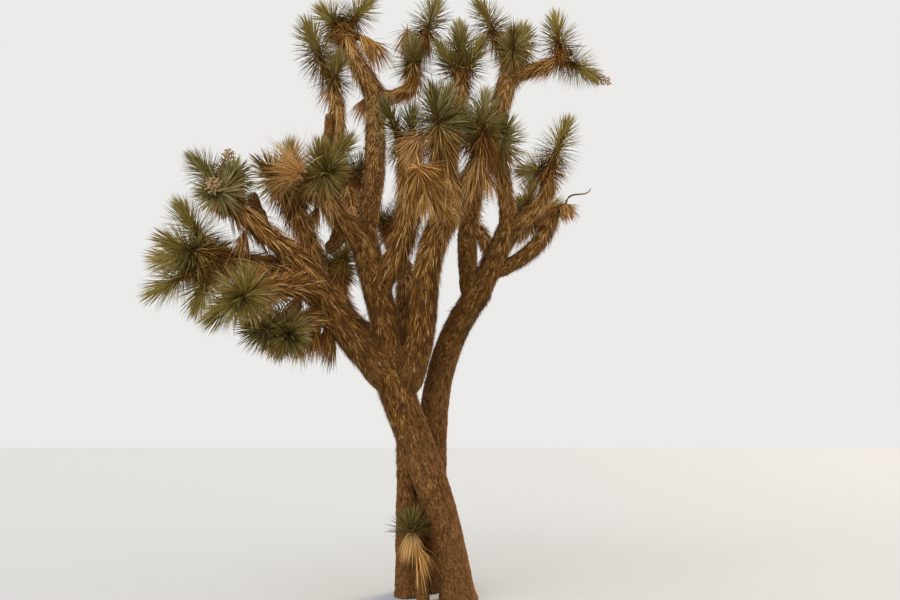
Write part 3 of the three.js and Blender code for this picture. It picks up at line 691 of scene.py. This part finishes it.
def combed(heading, outward, skew, tilt):
    """The headings of leaves that lie back down a limb, turned aside by skew and lifted by tilt."""
    side = np.cross(outward, heading)
    way = unit(-heading * np.cos(skew)[:, None] + side * np.sin(skew)[:, None])
    return unit(way * np.cos(tilt)[:, None] + outward * np.sin(tilt)[:, None]), side


def sagging(outward, amount):
    """The droop of a leaf's tip, which never bends into the bark behind it."""
    down = np.stack([np.zeros_like(amount), np.zeros_like(amount), -amount], axis=1)
    into = np.minimum(np.sum(down * outward, axis=1, keepdims=True), 0)
    return down - outward * into


def head_leaves(twig, count, rng, along, pitch, length, width, droop, hang=0.0, axis=None, stray=6):
    """A spiral of leaves round a twig. Along and pitch are ranges, from the first leaf to the last,
    hang is how far each is turned towards the ground, axis is what pitch is measured from, and stray
    is how many degrees a leaf may differ."""
    rank = (np.arange(count) + rng.random(count)) / count
    angle = np.arange(count) * math.radians(GOLDEN_ANGLE) + rng.normal(0, 0.2, count)
    tilt = np.radians(pitch[0] + (pitch[1] - pitch[0]) * rank + rng.normal(0, stray, count))
    axis = np.broadcast_to(twig["way"] if axis is None else axis, (count, 3))
    way = unit(turned(axis, tilt, angle) - UP * (hang * (0.6 + 0.8 * rng.random(count)))[:, None])
    out = turned(axis, np.full(count, math.pi / 2), angle)
    share = along[0] + (along[1] - along[0]) * rank
    place_at = twig["length"] * (twig["leafy"] + (1 - twig["leafy"]) * share)
    core = HEAD_CORE * (1 - rank) + TIP_CORE
    root = twig["fork"] + twig["way"] * place_at[:, None] + out * core[:, None]
    lengths = length * (0.8 + 0.28 * rng.random(count))
    widths = width * (0.85 + 0.3 * rng.random(count))
    bend = sagging(out, lengths * droop * (0.5 + rng.random(count)))
    side = np.cross(way, axis)
    side = np.where(np.linalg.norm(side, axis=1, keepdims=True) < 0.05, across(axis)[0], side)
    return dict(root=root, way=way, side=unit(side), length=lengths, width=widths, bend=bend), rank


# Finishes


class Socket:
    """A socket of a material's nodes that takes part in sums."""

    def __init__(self, finish, socket):
        self.finish, self.socket = finish, socket

    def __add__(self, other):
        return self.finish.sum("ADD", self, other)

    def __mul__(self, other):
        return self.finish.sum("MULTIPLY", self, other)

    __radd__, __rmul__ = __add__, __mul__


class Finish:
    """A node material."""

    def __init__(self, name):
        self.material = bpy.data.materials.new(name)
        self.material.use_nodes = True
        self.tree = self.material.node_tree
        self.tree.nodes.clear()

    def node(self, kind, settings=None, inputs=None, output=0):
        """A node whose settings are set first, then its sockets, and one output of it."""
        made = self.tree.nodes.new(kind)
        for key, value in (settings or {}).items():
            if key == "stops":
                self._set_stops(made.color_ramp, value)
            else:
                setattr(made, key, value)
        for key, value in (inputs or {}).items():
            if isinstance(value, Socket):
                self.tree.links.new(value.socket, made.inputs[key])
            else:
                made.inputs[key].default_value = value
        return Socket(self, made.outputs[output]) if made.outputs else None

    @staticmethod
    def _set_stops(ramp, stops):
        for element, (position, grey) in zip(ramp.elements, stops):
            element.position, element.color = position, (grey, grey, grey, 1.0)

    def sum(self, operation, first, second):
        """A sum or a product of two parts, each a socket or a number."""
        return self.node("ShaderNodeMath", {"operation": operation}, {0: first, 1: second})

    def spot(self):
        """The place on the piece."""
        return self.node("ShaderNodeTexCoord", output="Object")

    def held(self, name, output="Fac"):
        """A number or vector that the mesh holds for each corner."""
        return self.node("ShaderNodeAttribute", {"attribute_name": name}, output=output)

    def scaled(self, vector, scale):
        """A vector with each of its numbers scaled."""
        return self.node("ShaderNodeVectorMath", {"operation": "MULTIPLY"}, {0: vector, 1: scale})

    def noise(self, vector, detail, scale=1.0):
        """Noise from 0 to 1."""
        inputs = {"Vector": vector, "Scale": scale, "Detail": detail, "Roughness": 0.6}
        return self.node("ShaderNodeTexNoise", inputs=inputs)

    def mix(self, share, first, second):
        """A mix of two colours, each a socket or three numbers."""
        first, second = (part if isinstance(part, Socket) else (*part, 1.0) for part in (first, second))
        return self.node("ShaderNodeMix", {"data_type": "RGBA"}, {0: share, 6: first, 7: second}, 2)

    def step(self, share, low, high):
        """A grey that goes from black to white between two shares."""
        return self.node("ShaderNodeValToRGB", {"stops": [(low, 0.0), (high, 1.0)]}, {0: share})

    def bump(self, height, strength, distance):
        """The normal of a rough surface."""
        inputs = {"Strength": strength, "Distance": distance, "Height": height}
        return self.node("ShaderNodeBump", inputs=inputs)

    def surface(self, **inputs):
        """Ends the nodes with a shader and gives the material."""
        named = {key.replace("_", " "): value for key, value in inputs.items()}
        shader = self.node("ShaderNodeBsdfPrincipled", inputs=named)
        self.node("ShaderNodeOutputMaterial", inputs={"Surface": shader})
        return self.material


def shade(colour, factor):
    """A colour made darker or lighter."""
    return tuple(min(part * factor, 1.0) for part in colour)


def bark_finish(name, crevice_shade, body, ridge):
    """Old bark: crevices darkened with painted shade, plates of many browns, painted paler higher up as
    painted light, with pale worn fibres along them.
    """
    finish = Finish(name)
    straight, relief, tone = finish.held("straight", "Vector"), finish.held("relief"), finish.held("tone")
    strands = finish.noise(finish.scaled(straight, (190, 190, 26)), 4)
    patches = finish.noise(straight, 2, 3.2)
    # The held tone carries painted light by height besides each plate's own tone.
    plate = finish.mix(tone, body, ridge)
    plate = finish.mix(patches * 0.55, plate, shade(body, 0.6))
    plate = finish.mix(finish.step(strands, 0.5, 0.72) * 0.45, plate, shade(ridge, 1.5))
    # The crevices take their own darker colour, painted shade laid over the relief.
    colour = finish.mix(finish.step(relief, 0.05, 0.5), crevice_shade, plate)
    normal = finish.bump(strands * 0.7 + relief * 0.3, 0.7, 0.004)
    return finish.surface(Base_Color=colour, Roughness=strands * 0.15 + 0.8, Specular_IOR_Level=0.15,
                          Normal=normal)


def leaf_finish(name, colour, roughness, spread=0.3, shine=0.15):
    """Leaves of one base colour that shifts a little from spray to spray."""
    finish = Finish(name)
    spot = finish.spot()
    patches, grain = finish.noise(spot, 2, 5.0), finish.noise(spot, 3, 60.0)
    shifted = finish.mix(patches, shade(colour, 1 - spread), shade(colour, 1 + spread))
    return finish.surface(Base_Color=shifted, Roughness=grain * 0.2 + (roughness - 0.1),
                          Specular_IOR_Level=shine, Normal=finish.bump(grain, 0.25, 0.002))


def floor_finish(name, colour, roughness):
    """The floor's matt paint, with a faint mottle."""
    finish = Finish(name)
    mottle = finish.noise(finish.spot(), 2, 0.6)
    mixed = finish.mix(mottle * 0.12, colour, shade(colour, 0.94))
    return finish.surface(Base_Color=mixed, Roughness=roughness)


# Settings


def colour_setting(name, description, default):
    """A colour that a user may change."""
    return FloatVectorProperty(name=name, description=description, default=default, subtype="COLOR", size=3,
                               min=0, max=1)


def length_setting(name, description, default):
    """A length in metres that a user may change."""
    return FloatProperty(name=name, description=description, default=default, min=0.0005, unit="LENGTH")


def number_setting(name, description, default, low, high):
    """A number that a user may change."""
    kind = IntProperty if isinstance(default, int) else FloatProperty
    return kind(name=name, description=description, default=default, min=low, max=high)


class BarkSettings(bpy.types.PropertyGroup):
    """Sizes and colours of the bark."""

    plate_width: length_setting("Plate width", "Width of a plate of bark on the stems", 0.0125)
    plate_length: length_setting("Plate length", "Length of a plate along the stem", 0.042)
    depth: length_setting("Relief", "Height of the plates over the crevices", 0.007)
    bough_depth: length_setting("Bough relief", "Height of the relief on the boughs", 0.009)
    fibre_width: length_setting("Fibre width", "Width of the dead fibres on the stems", 0.0042)
    # The crevice colour is painted shade between the plates.
    crevice_shade: colour_setting("Crevice", "Colour between the plates", (0.07, 0.03, 0.008))
    body: colour_setting("Plate", "Colour of the darker plates", (0.14, 0.06, 0.017))
    ridge: colour_setting("Worn plate", "Colour of the lighter plates", (0.28, 0.135, 0.042))


class ThatchSettings(bpy.types.PropertyGroup):
    """Sizes and colours of the dead leaves."""

    cover: number_setting("Cover", "Layers of dead leaves on the boughs", 3.0, 0.2, 9.0)
    width: length_setting("Width", "Width of a dead leaf", 0.009)
    skirt: number_setting("Skirt", "Dead leaves under each head", 230, 10, 900)
    dead: number_setting("Dead head", "Leaves of a head that is dead", 190, 10, 900)
    dark: colour_setting("Weathered", "Oldest dead leaves", (0.1, 0.043, 0.009))
    brown: colour_setting("Brown", "Old dead leaves", (0.23, 0.1, 0.018))
    golden: colour_setting("Golden brown", "Dead leaves", (0.42, 0.2, 0.045))
    tan: colour_setting("Tan", "Newly dead leaves", (0.7, 0.44, 0.18))


class LeafSettings(bpy.types.PropertyGroup):
    """Sizes and colours of the green leaves."""

    count: number_setting("Leaves", "Green leaves on each head", 270, 10, 900)
    width: length_setting("Width", "Width of a leaf at its foot", 0.0135)
    fold: number_setting("Keel", "Depth of the keel as a share of the width", 0.22, 0.05, 0.6)
    olive: colour_setting("Olive", "Colour of the olive heads", (0.25, 0.185, 0.034))
    grey_green: colour_setting("Grey green", "Colour of the grey-green heads", (0.28, 0.235, 0.085))
    # Also painted shade: the lowest leaves of each head take this colour.
    deep_green: colour_setting("Deep green", "Colour of the darkest heads", (0.13, 0.1, 0.018))
    yellow_green: colour_setting("Yellow green", "Colour of the sunniest heads", (0.37, 0.285, 0.06))
    pale_green: colour_setting("Pale green", "Colour of the palest leaves", (0.47, 0.42, 0.2))


class StalkSettings(bpy.types.PropertyGroup):
    """Sizes and colours of the dry flower stalks."""

    thickness: length_setting("Thickness", "Radius of a stalk at its foot", 0.011)
    stalk: colour_setting("Stalk", "Colour of the stalks", (0.2, 0.11, 0.05))
    husk: colour_setting("Husk", "Colour of the dry flowers and husks", (0.46, 0.3, 0.16))


class StageSettings(bpy.types.PropertyGroup):
    """The floor and the light round the tree."""

    floor: colour_setting("Floor", "Colour of the floor", (0.44, 0.49, 0.56))
    sky: colour_setting("Surround", "Colour of the light from all round", (0.93, 0.92, 0.9))
    soft: number_setting("Soft light", "Strength of the soft light from the front", 1.5, 0.0, 20.0)
    warm: number_setting("Warm light", "Strength of the warm light from behind", 3.0, 0.0, 20.0)


class TreeSettings(bpy.types.PropertyGroup):
    """All that a user may change."""

    bark: PointerProperty(type=BarkSettings)
    thatch: PointerProperty(type=ThatchSettings)
    leaves: PointerProperty(type=LeafSettings)
    stalks: PointerProperty(type=StalkSettings)
    stage: PointerProperty(type=StageSettings)


# Operators

STEM_GRIDS = {"trunk": (0.0065, 0.010), "rear_stem": (0.0085, 0.013), "left_stem": (0.0085, 0.013),
              "sprout_stem": (0.008, 0.012)}  # the size of the bark's faces across and along each stem
BOUGH_GRID, BOUGH_PLATE = (0.013, 0.02), (0.024, 0.085)
FIBRES = {"trunk": 21000, "rear_stem": 18000, "left_stem": 7000, "sprout_stem": 400}  # how many
DEAD_LEAF = [(0, 0.9), (0.55, 1.0)]  # its width at shares of its length
GREEN_LEAF = [(0, 1.0), (0.3, 0.95), (0.7, 0.55)]
DEAD_TONES = ["dark", "brown", "golden", "tan"]  # from the oldest leaves to the newest
GREENS = ["olive", "grey_green", "deep_green", "yellow_green", "pale_green"]  # by their numbers
COVER_FROM = 0.72  # the share of a stem from which dead leaves cover it
FIBRE_CLUMP, LEAF_CLUMP = (0.05, 0.014), (0.07, 0.016)  # length and width of a patch of one tone
UNRULY = 0.09  # the share of the dead leaves that stand out from the rest
TWIG_FACES, TWIG_PLATE = 12, np.array([0.02, 0.02, 0.06])
STALK_LEAN = math.radians(22)  # away from the twig
STALK_BOW, STALK_WAVE = 0.03, 2.5  # how far it bends aside and how often
BARE_BOW, BARE_WAVE = 0.05, 5.5  # the same of a bare stalk
SIDE_TWIGS, SIDE_TURN = 22, 2.4  # on each stalk, and the angle from each to the next
HUSK_LENGTH, HUSK_RADIUS = 0.032, 0.0085
HUSK_SHAPE = np.array([0.25, 0.9, 1.0, 0.75, 0.1])
FLOOR_REACH, FLOOR_SIDES, FLOOR_LEVEL = 400.0, 96, -0.001  # so wide that its edge is the horizon
LENS, FILM = 28, 36  # in millimetres
PICTURE_WIDTH, HORIZON = 900, 145  # in pixels, the horizon's from the middle of the picture down
CAMERA_SPOT = (-0.09, -7.4, 1.5)
CAMERA_TILT = math.radians(90) + math.atan(HORIZON / (PICTURE_WIDTH * LENS / FILM))  # level is 90 degrees


def tones_of(settings, names):
    """The colours that the settings hold under these names."""
    return {name: getattr(settings, name) for name in names}


class JOSHUA_OT_stems(bpy.types.Operator):
    """Grow the bark of the trunk and the stems"""

    bl_idname = "joshua_tree.stems"
    bl_label = "Stems"

    def execute(self, context):
        bark = context.scene.joshua_tree.bark
        finish = bark_finish("stem_bark", bark.crevice_shade, bark.body, bark.ridge)
        plate = (bark.plate_width, bark.plate_length)
        for name, grid in STEM_GRIDS.items():
            place(bark_piece(f"{name}_bark", [name], grid, plate, bark.depth), finish, "trunk_bark", name)
        return {"FINISHED"}


class JOSHUA_OT_boughs(bpy.types.Operator):
    """Grow the bark of the boughs"""

    bl_idname = "joshua_tree.boughs"
    bl_label = "Boughs"

    def execute(self, context):
        bark = context.scene.joshua_tree.bark
        finish = bark_finish("bough_bark", bark.crevice_shade, shade(bark.body, 0.9), shade(bark.ridge, 0.85))
        for group, parts in BOUGH_GROUPS.items():
            members = [f"{part}_bough" for part in parts.split()]
            made = bark_piece(f"{group}_bough_bark", members, BOUGH_GRID, BOUGH_PLATE, bark.bough_depth)
            place(made, finish, "bough_thatch", *members)
        return {"FINISHED"}


class JOSHUA_OT_fibres(bpy.types.Operator):
    """Set short dead fibres on the bark of the stems"""

    bl_idname = "joshua_tree.fibres"
    bl_label = "Bark fibres"

    def execute(self, context):
        bark = context.scene.joshua_tree.bark
        rng = np.random.RandomState(31)
        sprays = Sprays()
        for name, count in FIBRES.items():
            one, first = LIMB[name], UNDERGROUND / LINES[name].length
            share, angle, point, heading, outward = limb_places(one, count, rng, first, 0.985)
            tilt = np.radians(6 + 26 * rng.random(count) ** 2)
            way, side = combed(heading, outward, np.radians(rng.normal(0, 13, count)), tilt)
            shag = one["shag"][0] + (one["shag"][1] - one["shag"][0]) * share
            length = shag * (0.6 + 0.7 * rng.random(count))
            width = bark.fibre_width * (0.7 + 0.7 * rng.random(count)) * (0.75 + 6 * shag)
            tone = 3.4 * clumps(one, share, angle, *FIBRE_CLUMP, 5) - 0.7 + rng.normal(0, 0.4, count)
            sprays.add(tone, 0, 2, dict(root=point, way=way, side=side, length=length, width=width,
                                        bend=sagging(outward, length * 0.12)))
        tones = {"dark": shade(bark.body, 0.55), "brown": shade(bark.body, 1.1),
                 "pale": shade(bark.ridge, 1.3)}
        sprays.join("bark_fibres", "bark_fibre", tones, "trunk_bark", [(0, 0.9), (0.5, 1.0)], 0, 0.85)
        return {"FINISHED"}


class JOSHUA_OT_thatch(bpy.types.Operator):
    """Cover the boughs with dead leaves that point back down them, longer towards their tips"""

    bl_idname = "joshua_tree.thatch"
    bl_label = "Dead leaves on the boughs"

    def execute(self, context):
        thatch = context.scene.joshua_tree.thatch
        rng = np.random.RandomState(47)
        sprays = Sprays()
        for one in LIMBS:
            self.cover(one, thatch, rng, sprays)
        for mop in MOPS:
            self.mop(thatch, rng, sprays, *mop)
        sprays.join("thatch", "thatch", tones_of(thatch, DEAD_TONES), "bough_thatch", DEAD_LEAF, 0, 0.8)
        return {"FINISHED"}

    def cover(self, one, thatch, rng, sprays):
        """Lays dead leaves on one limb, on a stem only near its top."""
        line = LINES[one["name"]]
        if "foot" in one:
            first, low, high = COVER_FROM, 0.05, one["shag"][1] + 0.03
        else:
            first, (low, high) = 0.8 * LIMB[one["start"]]["thick"][1] / line.length, one["shag"]
        area = line.length * (1 - first) * CIRCLE * (sum(one["thick"]) / 2)
        mean = (low + high) / 2
        count = int(thatch.cover * area / (mean * (thatch.width * self.broad(mean))))
        share, angle, point, heading, outward = limb_places(one, count, rng, first, 1.02)
        usual = low + (high - low) * np.clip((share - first) / (1 - first), 0, 1)
        length = usual * (0.55 + 0.75 * rng.random(count))
        unruly = rng.random(count) < UNRULY
        tilt = np.radians(7 + 17 * rng.random(count) + 60 * usual * rng.random(count))
        tilt = np.where(unruly, tilt + np.radians(35 * rng.random(count)), tilt)
        way, side = combed(heading, outward, np.radians(rng.normal(0, 14, count)), tilt)
        # On the broken stubs pale is lowered: painted shade that darkens their dead leaves.
        # Pale holds painted light by height: the dead leaves higher up are painted lighter, those low down
        # darker as painted shade.
        fresh, pale = np.clip((usual - 0.05) / 0.2, 0, 1), painted_light(point) - 1.2 * ("broken" in one)
        clump = clumps(one, share, angle, *LEAF_CLUMP, 9) - 0.5
        tone = 0.3 + 0.7 * fresh + 1.5 * pale + 3.0 * clump + rng.normal(0, 0.8, count)
        width = thatch.width * (0.65 + 0.5 * rng.random(count)) * self.broad(usual)
        droop = length * (0.1 + 0.3 * rng.random(count)) * np.clip(usual / 0.12, 0.3, 1)
        sprays.add(tone, 0, 3, dict(root=point, way=way, side=side, length=length, width=width,
                                    bend=sagging(outward, droop)))

    def broad(self, length):
        """How wide leaves of this length are, as a share of the setting."""
        return 0.45 + 0.65 * np.clip(length / 0.2, 0, 1)

    def mop(self, thatch, rng, sprays, name, at, angle, reach, count, pale):
        """Hangs the dead leaves of a worn head from one place."""
        outward = aside(LINES[name].tangent(at), math.radians(angle))
        knot = LINES[name].point(at) + outward * (LIMB[name]["thick"][0] + 0.01)
        way, spin = unit(outward * 0.55 - UP * 0.65), rng.random(count) * CIRCLE
        way = unit(way + aside(way, spin) * (0.75 * rng.random(count) ** 0.7)[:, None])
        root = knot + unit(rng.normal(0, 1, (count, 3))) * 0.018
        length = reach * (0.6 + 0.5 * rng.random(count))
        tone = pale + rng.normal(0, 0.7, count)
        side = np.cross(way, UP + 0.2 * rng.normal(0, 1, (count, 3)))
        width = thatch.width * (0.8 + 0.4 * rng.random(count))
        droop = length * (0.3 + 0.35 * rng.random(count))
        sprays.add(tone, 1, 3, dict(root=root, way=way, side=side, length=length, width=width,
                                    bend=sagging(outward, droop)))


class JOSHUA_OT_twigs(bpy.types.Operator):
    """Grow the short stems that carry the heads on from the boughs"""

    bl_idname = "joshua_tree.twigs"
    bl_label = "Twigs"

    def execute(self, context):
        bark = context.scene.joshua_tree.bark
        tubes = Tubes()
        t = np.linspace(0, 1, TWIG_FACES + 1)[:, None]
        angle = CIRCLE * np.arange(TWIG_FACES) / TWIG_FACES
        for number, twig in enumerate(TWIGS):
            foot, fork = twig["root"] - twig["heading"] * 0.03, twig["fork"]
            tip = fork + twig["way"] * twig["length"] * 1.05
            line = (1 - t) ** 2 * foot + 2 * (1 - t) * t * fork + t**2 * tip
            heading = unit(2 * (1 - t) * (fork - foot) + 2 * t * (tip - fork))
            radius = LIMB[twig["owner"]["on"]]["thick"][1] * 0.9 * (1 - t) + 0.03 * t
            lumps = 0.004 * np.sin(5 * angle + number) * (1 - t)
            radius = radius * np.sqrt(np.clip(1.02 - t**6, 0.05, 1)) + lumps
            straight = np.stack(np.broadcast_arrays(np.cos(angle) * 0.06, np.sin(angle) * 0.06,
                                                    t * twig["length"]), axis=-1).reshape(-1, 3)
            straight = np.concatenate([straight, straight[[0, -1]]]) + number
            inside, own = plates(straight / TWIG_PLATE, 77)
            tubes.bend(line, radius, TWIG_FACES, heading, straight=straight,
                       relief=np.clip(inside * 2.5, 0, 1), tone=own)
        finish = bark_finish("twig_bark", bark.crevice_shade, shade(bark.body, 0.7), shade(bark.ridge, 0.7))
        place(tubes.piece("head_twigs"), finish, "bough_thatch", *MASS_NAMES)
        return {"FINISHED"}


class JOSHUA_OT_heads(bpy.types.Operator):
    """Grow the green dagger leaves of the heads"""

    bl_idname = "joshua_tree.heads"
    bl_label = "Green heads"

    def execute(self, context):
        leaves = context.scene.joshua_tree.leaves
        rng = np.random.RandomState(59)
        sprays = Sprays()
        count = leaves.count
        for twig in TWIGS:
            owner = twig["owner"]
            if twig["rank"] < owner["dry"]:
                continue
            made, rank = head_leaves(twig, count, rng, (-0.1, 1.0), (owner["pitch"], 6), owner["leaf"],
                                     leaves.width, 0.05)
            made["length"] = made["length"] * (1 - 0.22 * rank**3)
            colours = np.where(rng.random(count) < 0.45, rng.randint(0, 5, count), owner["tint"])
            # The lowest leaves of each head take the deep shade green, painted shade under the head.
            colours = np.where(rng.random(count) < 0.9 - 2.2 * rank, DEEP_SHADE_GREEN, colours)
            sprays.add(colours, OLIVE, PALE_GREEN, made)
        sprays.join("leaves", "leaf", tones_of(leaves, GREENS), "leaves", GREEN_LEAF, leaves.fold, 0.5,
                    MASS_NAMES, spread=0.22, shine=0.35)
        return {"FINISHED"}


class JOSHUA_OT_skirts(bpy.types.Operator):
    """Hang the dead leaves under the heads, and on the heads that are dead"""

    bl_idname = "joshua_tree.skirts"
    bl_label = "Skirts of dead leaves"

    def execute(self, context):
        thatch = context.scene.joshua_tree.thatch
        rng = np.random.RandomState(67)
        sprays = Sprays()
        for twig in TWIGS:
            owner = twig["owner"]
            count, dead = int(thatch.skirt * owner["skirt"]), twig["rank"] < owner["dry"]
            made, rank = head_leaves(twig, count, rng, (-0.6, 0.3), (172, 145) if dead else (160, 98),
                                     owner["leaf"] * 0.86, thatch.width, 0.25, owner["hang"])
            sprays.add(owner["age"] + 1.3 * rank + rng.normal(0, 0.75, count), 0, 3, made)
            if dead:
                made, rank = head_leaves(twig, thatch.dead, rng, (0.45, 1.0), (178, 180 - owner["spread"]),
                                         owner["leaf"] * owner["blade"], thatch.width * 1.15, 0.2,
                                         axis=-unit(owner["sweep"]), stray=14)
                made["length"] = made["length"] * (0.7 + 0.4 * rng.random(thatch.dead))
                sprays.add(owner["pale"] + rng.normal(0, 0.7, thatch.dead), 1, 3, made)
        sprays.join("skirt", "skirt", tones_of(thatch, DEAD_TONES), "leaves", DEAD_LEAF, 0.18, 0.75)
        return {"FINISHED"}


class JOSHUA_OT_stalks(bpy.types.Operator):
    """Grow the dry flower stalks with their husks"""

    bl_idname = "joshua_tree.stalks"
    bl_label = "Flower stalks"

    def execute(self, context):
        stalks = context.scene.joshua_tree.stalks
        rng = np.random.RandomState(73)
        tubes, husks = Tubes(), Tubes()
        for twig in TWIGS:
            if twig["rank"] in twig["owner"]["stalks"]:
                self.grow(twig, stalks, rng, tubes, husks)
        place(tubes.piece("flower_stalks"), leaf_finish("dry_stalk", stalks.stalk, 0.8), "leaves")
        place(husks.piece("flower_husks"), leaf_finish("dry_husk", stalks.husk, 0.7), "leaves")
        return {"FINISHED"}

    def grow(self, twig, stalks, rng, tubes, husks):
        """One stalk with side twigs, each of which carries some husks. A bare one has lost them."""
        root = twig["fork"] + twig["way"] * twig["length"] * 0.9
        way = turned(twig["way"], STALK_LEAN, 1.0)
        side, front = across(way)
        t = np.linspace(0, 1, 9)[:, None]
        length = twig["owner"]["stalk"] + 0.14
        if twig["owner"]["bare"]:
            line = root + way * length * t + front * BARE_BOW * np.sin(BARE_WAVE * t)
            tubes.bend(line, stalks.thickness * (1.4 - 0.9 * t), 6)
            return
        line = root + way * length * t + side * STALK_BOW * np.sin(STALK_WAVE * t)
        tubes.bend(line, stalks.thickness * (1 - 0.7 * t), 6)
        for k in range(SIDE_TWIGS):
            at = 0.38 + 0.6 * k / SIDE_TWIGS
            foot = root + way * length * at + side * STALK_BOW * math.sin(STALK_WAVE * at)
            out = turned(way, math.radians(58 + 14 * rng.rand()), k * SIDE_TURN)
            reach = 0.3 * length * (1.15 - at) * (0.6 + 0.8 * rng.rand()) + 0.01
            steps = np.linspace(0, 1, 4)[:, None]
            tubes.bend(foot + out * reach * steps + UP * 0.012 * steps**2, 0.0035 * (1 - 0.5 * steps), 4)
            for husk_at in (0.45, 0.75, 1.0):
                hang = unit(out + 0.5 * rng.normal(0, 1, 3) - 0.4 * UP)
                line = foot + out * reach * husk_at + hang * HUSK_LENGTH * np.linspace(0, 1, 5)[:, None]
                husks.bend(line, HUSK_RADIUS * HUSK_SHAPE * (0.7 + 0.5 * rng.rand()), 6)


class JOSHUA_OT_stage(bpy.types.Operator):
    """Set the floor, the lights and the camera"""

    bl_idname = "joshua_tree.stage"
    bl_label = "Stage"

    def execute(self, context):
        stage = context.scene.joshua_tree.stage
        here = np.arange(FLOOR_SIDES)
        angle = CIRCLE * here / FLOOR_SIDES
        rim = [FLOOR_REACH * np.cos(angle), FLOOR_REACH * np.sin(angle), np.full(FLOOR_SIDES, FLOOR_LEVEL)]
        corners = np.concatenate([np.stack(rim, axis=1), [[0, 0, FLOOR_LEVEL]]])
        sides = np.stack([here, (here + 1) % FLOOR_SIDES, np.full(FLOOR_SIDES, FLOOR_SIDES)], axis=1)
        floor = build("floor", corners, sides)
        floor.data.materials.append(floor_finish("floor_paint", stage.floor, 0.9))
        world = bpy.data.worlds.new("surround")
        world.use_nodes = True
        surround = world.node_tree.nodes["Background"].inputs
        surround["Color"].default_value, surround["Strength"].default_value = (*stage.sky, 1.0), 0.9
        context.scene.world = world
        self.light("soft_front", (-6.5, -9.5, 9.0), 60, stage.soft, (1.0, 0.93, 0.84))
        self.light("warm_back", (6.0, 6.5, 5.5), 25, stage.warm, (1.0, 0.72, 0.4))
        self.camera(context)
        context.scene.view_settings.view_transform = "Standard"
        return {"FINISHED"}

    def light(self, name, spot, spread, power, colour):
        """A far, soft light that shines from a spot towards the tree. Spread is its width in degrees."""
        lamp = bpy.data.lights.new(name, "SUN")
        lamp.energy, lamp.color, lamp.angle = power, colour, math.radians(spread)
        made = bpy.data.objects.new(name, lamp)
        made.location = spot
        made.rotation_euler = (-Vector(spot)).to_track_quat("-Z", "Y").to_euler()
        bpy.context.scene.collection.objects.link(made)

    def camera(self, context):
        """The camera at the photograph's place: low in front of the tree, tipped up."""
        camera = bpy.data.cameras.new("camera")
        camera.lens, camera.sensor_width = LENS, FILM
        made = bpy.data.objects.new("camera", camera)
        made.location, made.rotation_euler = CAMERA_SPOT, (CAMERA_TILT, 0, 0)
        context.scene.collection.objects.link(made)
        context.scene.camera = made


STEPS = [JOSHUA_OT_stems, JOSHUA_OT_boughs, JOSHUA_OT_fibres, JOSHUA_OT_thatch, JOSHUA_OT_twigs,
         JOSHUA_OT_heads, JOSHUA_OT_skirts, JOSHUA_OT_stalks, JOSHUA_OT_stage]


class JOSHUA_PT_panel(bpy.types.Panel):
    """The steps that grow the tree"""

    bl_idname = "JOSHUA_PT_panel"
    bl_label = "Joshua tree"
    bl_space_type = "VIEW_3D"
    bl_region_type = "UI"
    bl_category = "Joshua tree"

    def draw(self, context):
        settings = context.scene.joshua_tree
        for key in ("bark", "thatch", "leaves", "stalks", "stage"):
            group = getattr(settings, key)
            box = self.layout.box()
            box.label(text=key.capitalize())
            for prop in group.bl_rna.properties:
                if not prop.is_readonly and prop.identifier != "name":
                    box.prop(group, prop.identifier)
        for step in STEPS:
            self.layout.operator(step.bl_idname)


SETTINGS = [BarkSettings, ThatchSettings, LeafSettings, StalkSettings, StageSettings, TreeSettings]


def register():
    """Registers the settings, the steps and the panel."""
    for kind in [*SETTINGS, *STEPS, JOSHUA_PT_panel]:
        bpy.utils.register_class(kind)
    bpy.types.Scene.joshua_tree = PointerProperty(type=TreeSettings)


def unregister():
    """Takes them away again."""
    del bpy.types.Scene.joshua_tree
    for kind in [JOSHUA_PT_panel, *reversed(STEPS), *reversed(SETTINGS)]:
        bpy.utils.unregister_class(kind)


def main():
    """Grows the whole tree."""
    register()
    bpy.ops.joshua_tree.stems()
    bpy.ops.joshua_tree.boughs()
    bpy.ops.joshua_tree.fibres()
    bpy.ops.joshua_tree.thatch()
    bpy.ops.joshua_tree.twigs()
    bpy.ops.joshua_tree.heads()
    bpy.ops.joshua_tree.skirts()
    bpy.ops.joshua_tree.stalks()
    bpy.ops.joshua_tree.stage()


if __name__ == "__main__":
    main()
